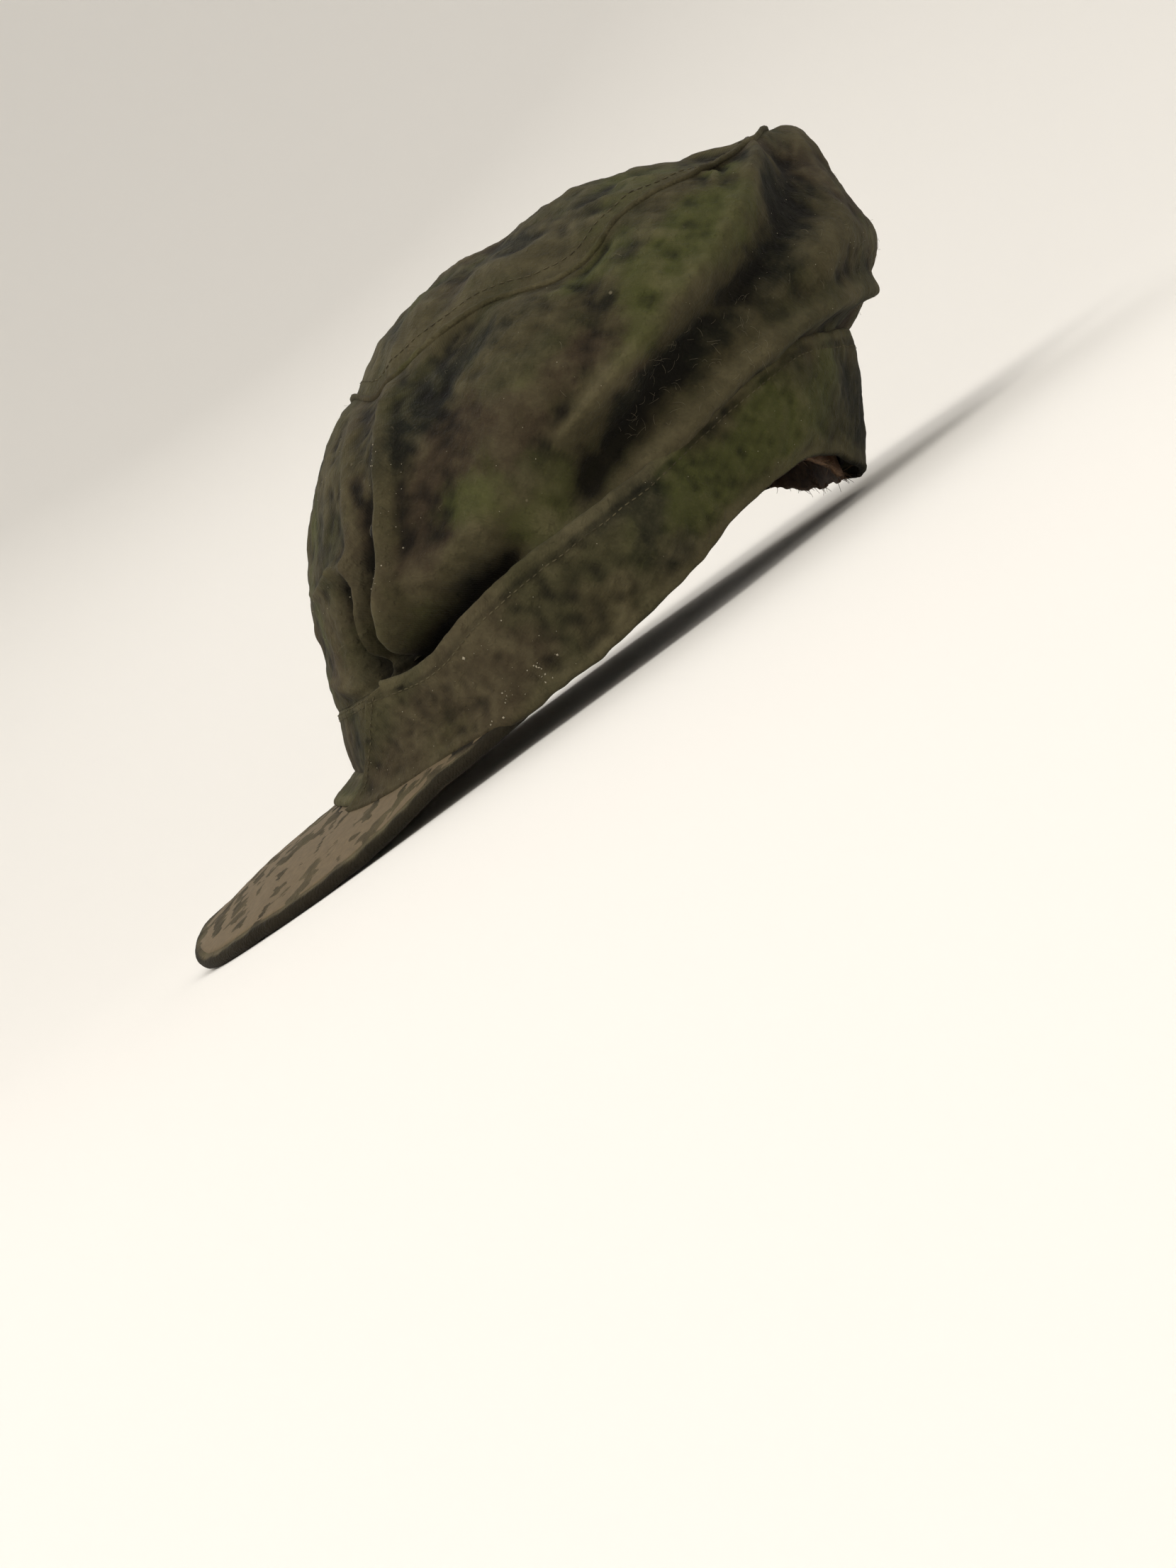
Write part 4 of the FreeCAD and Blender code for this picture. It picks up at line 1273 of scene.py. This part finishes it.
bandFront = crown["around"] // 2
spread = 62
frontRows = slice(bandFront - spread, bandFront + spread)
bandRows = [lineOn(bandGrid, column, True)[frontRows] for column in (22, 24)]
piece = addStitches("bandStitches", bandRows, 7, length=1.5)
settle(piece, "band_thread", "crown")

topRow = lineOn(topGrid, 4, True, 0.15)
piece = addStitches("topSeamStitches", [np.concatenate([topRow, topRow[:1]])], 9)
settle(piece, "top_seam_thread", "crown")

peakInner = [lineOn(peakTopGrid, column, False, 0.1)[6:-6] for column in (peak["across"] - 11,)]
peakOuter = [lineOn(peakTopGrid, column, False, 0.1)[6:-6] for column in (peak["across"] - 5,)]
piece = addStitches("peakStitchesOuter", peakOuter, 11)
settle(piece, "peak_thread_outer", "peak")
piece = addStitches("peakStitchesInner", peakInner, 13)
settle(piece, "peak_thread_inner", "peak")
print("stitches made")

# lint, loose fibres and frayed edges
litter = {
    # on the crown: degrees from, to, share from, to, how many, largest radius
    "crownFlecks": ((49, 58, 0.28, 0.72, 70, 0.42), (4, 44, 0.3, 0.9, 30, 0.3),
                    (-170, 178, 0.15, 0.95, 140, 0.26), (124, 150, 0.3, 0.8, 40, 0.26)),
    # on the flap: share of its length from, to, share of its height from, to
    "flapFlecks": ((0.0, 0.35, 0.05, 0.95, 50, 0.3), (0.26, 0.34, 0.06, 0.3, 26, 0.6),
                   (0.35, 1.0, 0.05, 0.95, 40, 0.25), (0.185, 0.19, 0.74, 0.78, 1, 0.8)),
    "peakFlecks": ((0.05, 0.95, 0.1, 0.95, 60, 0.28), (0.75, 0.95, 0.15, 0.6, 30, 0.4)),
    # fibres on the crown: degrees and share ranges, how many, length
    "fibres": ((98, 124, 0.18, 0.40, 90, 3.2), (6, 26, 0.86, 0.99, 7, 4.5), (-170, 176, 0.1, 0.95, 60, 3.0),
               (150, 178, 0.2, 0.5, 18, 3.0)),
    "fibreRadius": 0.04,
    "frayed": (128, 180, 110, 4.2, 0.13),     # sweatband edge: degrees from, to, how many, length, radius
    "nubs": (0.90, 0.995, 26, 1.6, 0.16),     # rear of the peak's edge, share of its length
    "tear": (47.5, 0.52, 4.6, 1.1),           # degrees, share, length, width
}
chance = np.random.RandomState(426)


def addScatter(name, places, normals, sizes, material, body):
    # small uneven grains: each is a squashed octahedron
    corners = np.array([(1, 0, 0), (0, 1, 0), (-1, 0, 0), (0, -1, 0), (0, 0, 1), (0, 0, -1)], float)
    sides = ((0, 1, 4), (1, 2, 4), (2, 3, 4), (3, 0, 4), (1, 0, 5), (2, 1, 5), (3, 2, 5), (0, 3, 5))
    points = []
    faces = []
    for place, normal, grain in zip(places, normals, sizes):
        turn = Vector(normal).to_track_quat("Z", "Y").to_matrix()
        spin = Matrix.Rotation(chance.uniform(0, 6.28), 3, "Z")
        shape = corners * chance.uniform(0.55, 1.0, (6, 1)) * (
            grain, grain * chance.uniform(0.5, 1), grain * 0.45)
        start = len(points)
        points += [place + np.array(turn @ spin @ Vector(corner)) for corner in shape]
        faces += [tuple(start + k for k in side) for side in sides]
    settle(addMesh(name, points, faces, material), None, body)


def addFibres(name, lines, radius, material, body):
    # thin three-sided threads along short curved lines
    points = []
    faces = []
    for line in lines:
        line = np.asarray(line)
        start = len(points)
        tangent = np.gradient(line, axis=0)
        tangent /= np.linalg.norm(tangent, axis=1, keepdims=True) + 1e-9
        side = np.cross(tangent, (0.31, 0.52, 0.79))
        side /= np.linalg.norm(side, axis=1, keepdims=True) + 1e-9
        other = np.cross(tangent, side)
        taper = np.linspace(1.0, 0.5, len(line))[:, None] * radius
        for k in range(3):
            a = 2 * math.pi * k / 3
            points += list(line + (side * math.cos(a) + other * math.sin(a)) * taper)
        count = len(line)
        for k in range(3):
            low, high = start + k * count, start + (k + 1) % 3 * count
            faces += [(low + i, high + i, high + i + 1, low + i + 1) for i in range(count - 1)]
        faces.append((start, start + count, start + 2 * count)[::-1])
        faces.append((start + count - 1, start + 2 * count - 1, start + 3 * count - 1))
    settle(addMesh(name, points, faces, material), None, body)


def curl(start, direction, normal, length, lift):
    # a short curved line that leaves the surface a little
    side = np.cross(direction, normal)
    bend = chance.uniform(-0.9, 0.9)
    steps = np.linspace(0, 1, 6)[:, None]
    bent = direction * steps + side * bend * steps ** 2
    return start + length * bent + normal * lift * np.sin(steps * 2.6)


def spotsOn(grid, normals, first, second, count):
    # random places on a grid, between two rows and two columns
    rows = chance.randint(int(first[0]), max(int(first[1]), int(first[0]) + 1), count) % grid.shape[0]
    columns = chance.randint(int(second[0]), max(int(second[1]), int(second[0]) + 1), count)
    return grid[rows, columns], normals[rows, columns]


def crownRow(degrees):
    return (degrees + 180) / 360 * crown["around"]


def scatterLint(name, grid, normals, scale, flecks, lift, least, power, body):
    # flecks over ranges of a grid; scale turns a range's units into rows and columns
    places, directions, sizes = [], [], []
    for fromRow, toRow, fromColumn, toColumn, count, largest in flecks:
        at, normal = spotsOn(grid, normals, (scale[0](fromRow), scale[0](toRow)),
                             (fromColumn * scale[1], toColumn * scale[1]), count)
        places += list(at + normal * lift)
        directions += list(normal)
        sizes += list(largest * chance.uniform(least, 1.0, count) ** power)
    addScatter(name, places, directions, sizes, lintFibre, body)


crownNormals = normalsOf(crownGrid, True)
flapLeft = flapGrids["left"][0]
peakNormals = normalsOf(peakTopGrid, False)
tall = crown["up"] - 1
scatterLint("crownLint", crownGrid, crownNormals, (crownRow, tall),
            litter["crownFlecks"], 0.1, 0.25, 1.6, "crown")
scatterLint("flapLint", flapLeft, normalsOf(flapLeft, False), (lambda part: part * flap["along"], flap["up"]),
            litter["flapFlecks"], 0.12, 0.3, 1.5, "flap")
scatterLint("peakLint", peakTopGrid, peakNormals, (lambda part: part * peak["along"], peak["across"]),
            litter["peakFlecks"], 0.1, 0.3, 1.5, "peak")

fibres = []
for fromDegrees, toDegrees, fromShare, toShare, count, length in litter["fibres"]:
    at, normal = spotsOn(crownGrid, crownNormals, (crownRow(fromDegrees), crownRow(toDegrees)),
                         (fromShare * tall, toShare * tall), count)
    for place, up in zip(at, normal):
        heading = np.cross(up, chance.uniform(-1, 1, 3))
        heading /= np.linalg.norm(heading) + 1e-9
        fibres.append(curl(place + up * 0.05, heading, up, length * chance.uniform(0.4, 1.0),
                           chance.uniform(0.3, 1.4)))
addFibres("crownFibres", fibres, litter["fibreRadius"], dustFibre, "crown")

fromDegrees, toDegrees, count, length, radius = litter["frayed"]
frayed = []
for k in range(count):
    degrees = chance.uniform(fromDegrees, toDegrees) * chance.choice((-1, 1))
    row = int(crownRow(degrees)) % crown["around"]
    angle = math.radians(degrees)
    outward = np.array([math.sin(angle), -math.cos(angle), 0.0])
    heading = np.array([0, 0, -0.6]) + outward * chance.uniform(-0.3, 0.9) + chance.uniform(-0.5, 0.5, 3)
    heading /= np.linalg.norm(heading)
    frayed.append(curl(sweatGrid[row, 0] + (0, 0, 0.6), heading, outward,
                       length * chance.uniform(0.25, 1.0), 0.3))
addFibres("sweatbandFray", frayed, radius, frayedThread, "crown")

fromPart, toPart, count, length, radius = litter["nubs"]
nubs = []
for k in range(count):
    row = int(chance.uniform(fromPart, toPart) * (peak["along"] - 1))
    column = peak["across"] + chance.randint(-1, 6)
    up = peakNormals[row, column]
    heading = up + chance.uniform(-0.8, 0.8, 3)
    heading /= np.linalg.norm(heading)
    nubs.append(curl(peakTopGrid[row, column] - up * 0.1, heading, up,
                     length * chance.uniform(0.4, 1.0), 0.2))
addFibres("peakFray", nubs, radius, frayedThread, "peak")


def addTear():
    # a short slit on the sharp fold: a thin near-black lens, painted shade in the opening, with a few worn
    # threads along its lips
    degrees, share, length, width = litter["tear"]
    row, column = int(crownRow(degrees)), int(share * tall)
    place, up = crownGrid[row, column], crownNormals[row, column]
    lengthwise = crownGrid[row, column + 3] - crownGrid[row, column - 3]
    lengthwise /= np.linalg.norm(lengthwise)
    across = np.cross(up, lengthwise)
    steps = np.linspace(-0.5, 0.5, 13)[1:-1]
    half = 0.5 * width * np.cos(steps * math.pi) ** 0.8
    ring = [[place + lengthwise * a * length + across * (b * side) + up * lift
             for a, b in zip(steps, half)] for side, lift in ((1, 0.1), (0, 0.22), (-1, 0.1), (0, -0.3))]
    count = len(steps)
    points = [point for line in ring for point in line]
    points += [place - lengthwise * length / 2, place + lengthwise * length / 2]
    faces = []
    for k in range(4):
        low, high = k * count, (k + 1) % 4 * count
        faces += [(low + i, low + i + 1, high + i + 1, high + i) for i in range(count - 1)]
        faces += [(4 * count, low, high), (4 * count + 1, high + count - 1, low + count - 1)]
    piece = addMesh("tear", points, faces, slitShade)
    settle(fixFacing(piece, piece.data), None, "crown")
    addFibres("tearLips", [ring[0][1:-1], ring[2][2:]], 0.09, dustFibre, "crown")


addTear()
print("lint, fibres and frayed edges made")

# floor, lights, camera
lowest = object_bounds()[0][2]
stage = {
    "flatRadius": 0.30,
    "wallRadius": 2.4,
    "height": 2.4,
    "turns": 96,
    "curve": 24,
    "worldStrength": 0.6,
}
lights = {
    "key": {"place": (1.0, -0.6, 1.3), "aim": (0, 0, 0.03), "size": 1.0, "power": 16,
            "colour": (1.0, 0.97, 0.92)},
    "fill": {"place": (1.4, 0.9, 0.7), "aim": (0, 0, 0.03), "size": 1.6, "power": 3,
             "colour": (0.96, 0.98, 1.0)},
    "rim": {"place": (-1.0, -0.2, 1.3), "aim": (0, 0, 0.05), "size": 1.0, "power": 4.5,
            "colour": (1.0, 0.98, 0.95)},
}


def makeStage():
    profile = [(0.0, 0.0), (stage["flatRadius"], 0.0)]
    curve, turns = stage["curve"], stage["turns"]
    for k in range(1, curve + 1):
        a = math.pi / 2 * k / curve
        profile.append((stage["flatRadius"] + (stage["wallRadius"] - stage["flatRadius"]) * math.sin(a),
                        stage["height"] * (1 - math.cos(a))))
    points = []
    for radius, height in profile:
        for k in range(turns):
            a = 2 * math.pi * k / turns
            points.append((radius * math.cos(a), radius * math.sin(a), lowest + height))
    faces = [(i * turns + k, i * turns + (k + 1) % turns, (i + 1) * turns + (k + 1) % turns,
              (i + 1) * turns + k) for i in range(len(profile) - 1) for k in range(turns)]
    mesh = bpy.data.meshes.new("floor")
    mesh.from_pydata(points, [], faces)
    mesh.polygons.foreach_set("use_smooth", [True] * len(mesh.polygons))
    item = bpy.data.objects.new("floor", mesh)
    bpy.context.scene.collection.objects.link(item)
    paint = Finish("paleFloor")
    mesh.materials.append(paint.shade(linear(238, 235, 230), 0.9))


def addLight(name, place, aim, size, power, colour):
    light = bpy.data.lights.new(name, "AREA")
    light.shape = "DISK"
    light.size = size
    light.energy = power
    light.color = colour
    item = bpy.data.objects.new(name, light)
    item.location = place
    item.rotation_euler = (Vector(aim) - Vector(place)).to_track_quat("-Z", "Y").to_euler()
    bpy.context.scene.collection.objects.link(item)


camera = {
    "distance": 0.407,
    "pitchDown": math.radians(8.4),
    "capTilt": math.radians(36.0),
    "lens": 36.456,
    "sensor": 36.0,
}


def makeCamera():
    data = bpy.data.cameras.new("camera")
    data.sensor_fit = "HORIZONTAL"
    data.sensor_width = camera["sensor"]
    data.lens = camera["lens"]
    data.clip_start = 0.01
    item = bpy.data.objects.new("camera", data)
    tilt, pitch = camera["capTilt"], camera["pitchDown"]
    right = Vector((0, math.cos(tilt), -math.sin(tilt)))
    up = Vector((-math.sin(pitch), math.sin(tilt) * math.cos(pitch), math.cos(tilt) * math.cos(pitch)))
    back = right.cross(up)
    turn = Matrix((right, up, back)).transposed()
    item.matrix_world = Matrix.Translation((camera["distance"], 0, 0)) @ turn.to_4x4()
    bpy.context.scene.collection.objects.link(item)
    bpy.context.scene.camera = item


makeStage()
makeCamera()
for name, light in lights.items():
    addLight(name, **light)
world = bpy.data.worlds.new("studio")
world.use_nodes = True
world.node_tree.nodes["Background"].inputs[0].default_value = (1.0, 0.99, 0.97, 1)
world.node_tree.nodes["Background"].inputs[1].default_value = stage["worldStrength"]
bpy.context.scene.world = world
bpy.context.scene.view_settings.view_transform = "Standard"
print("stage, lights and camera made")
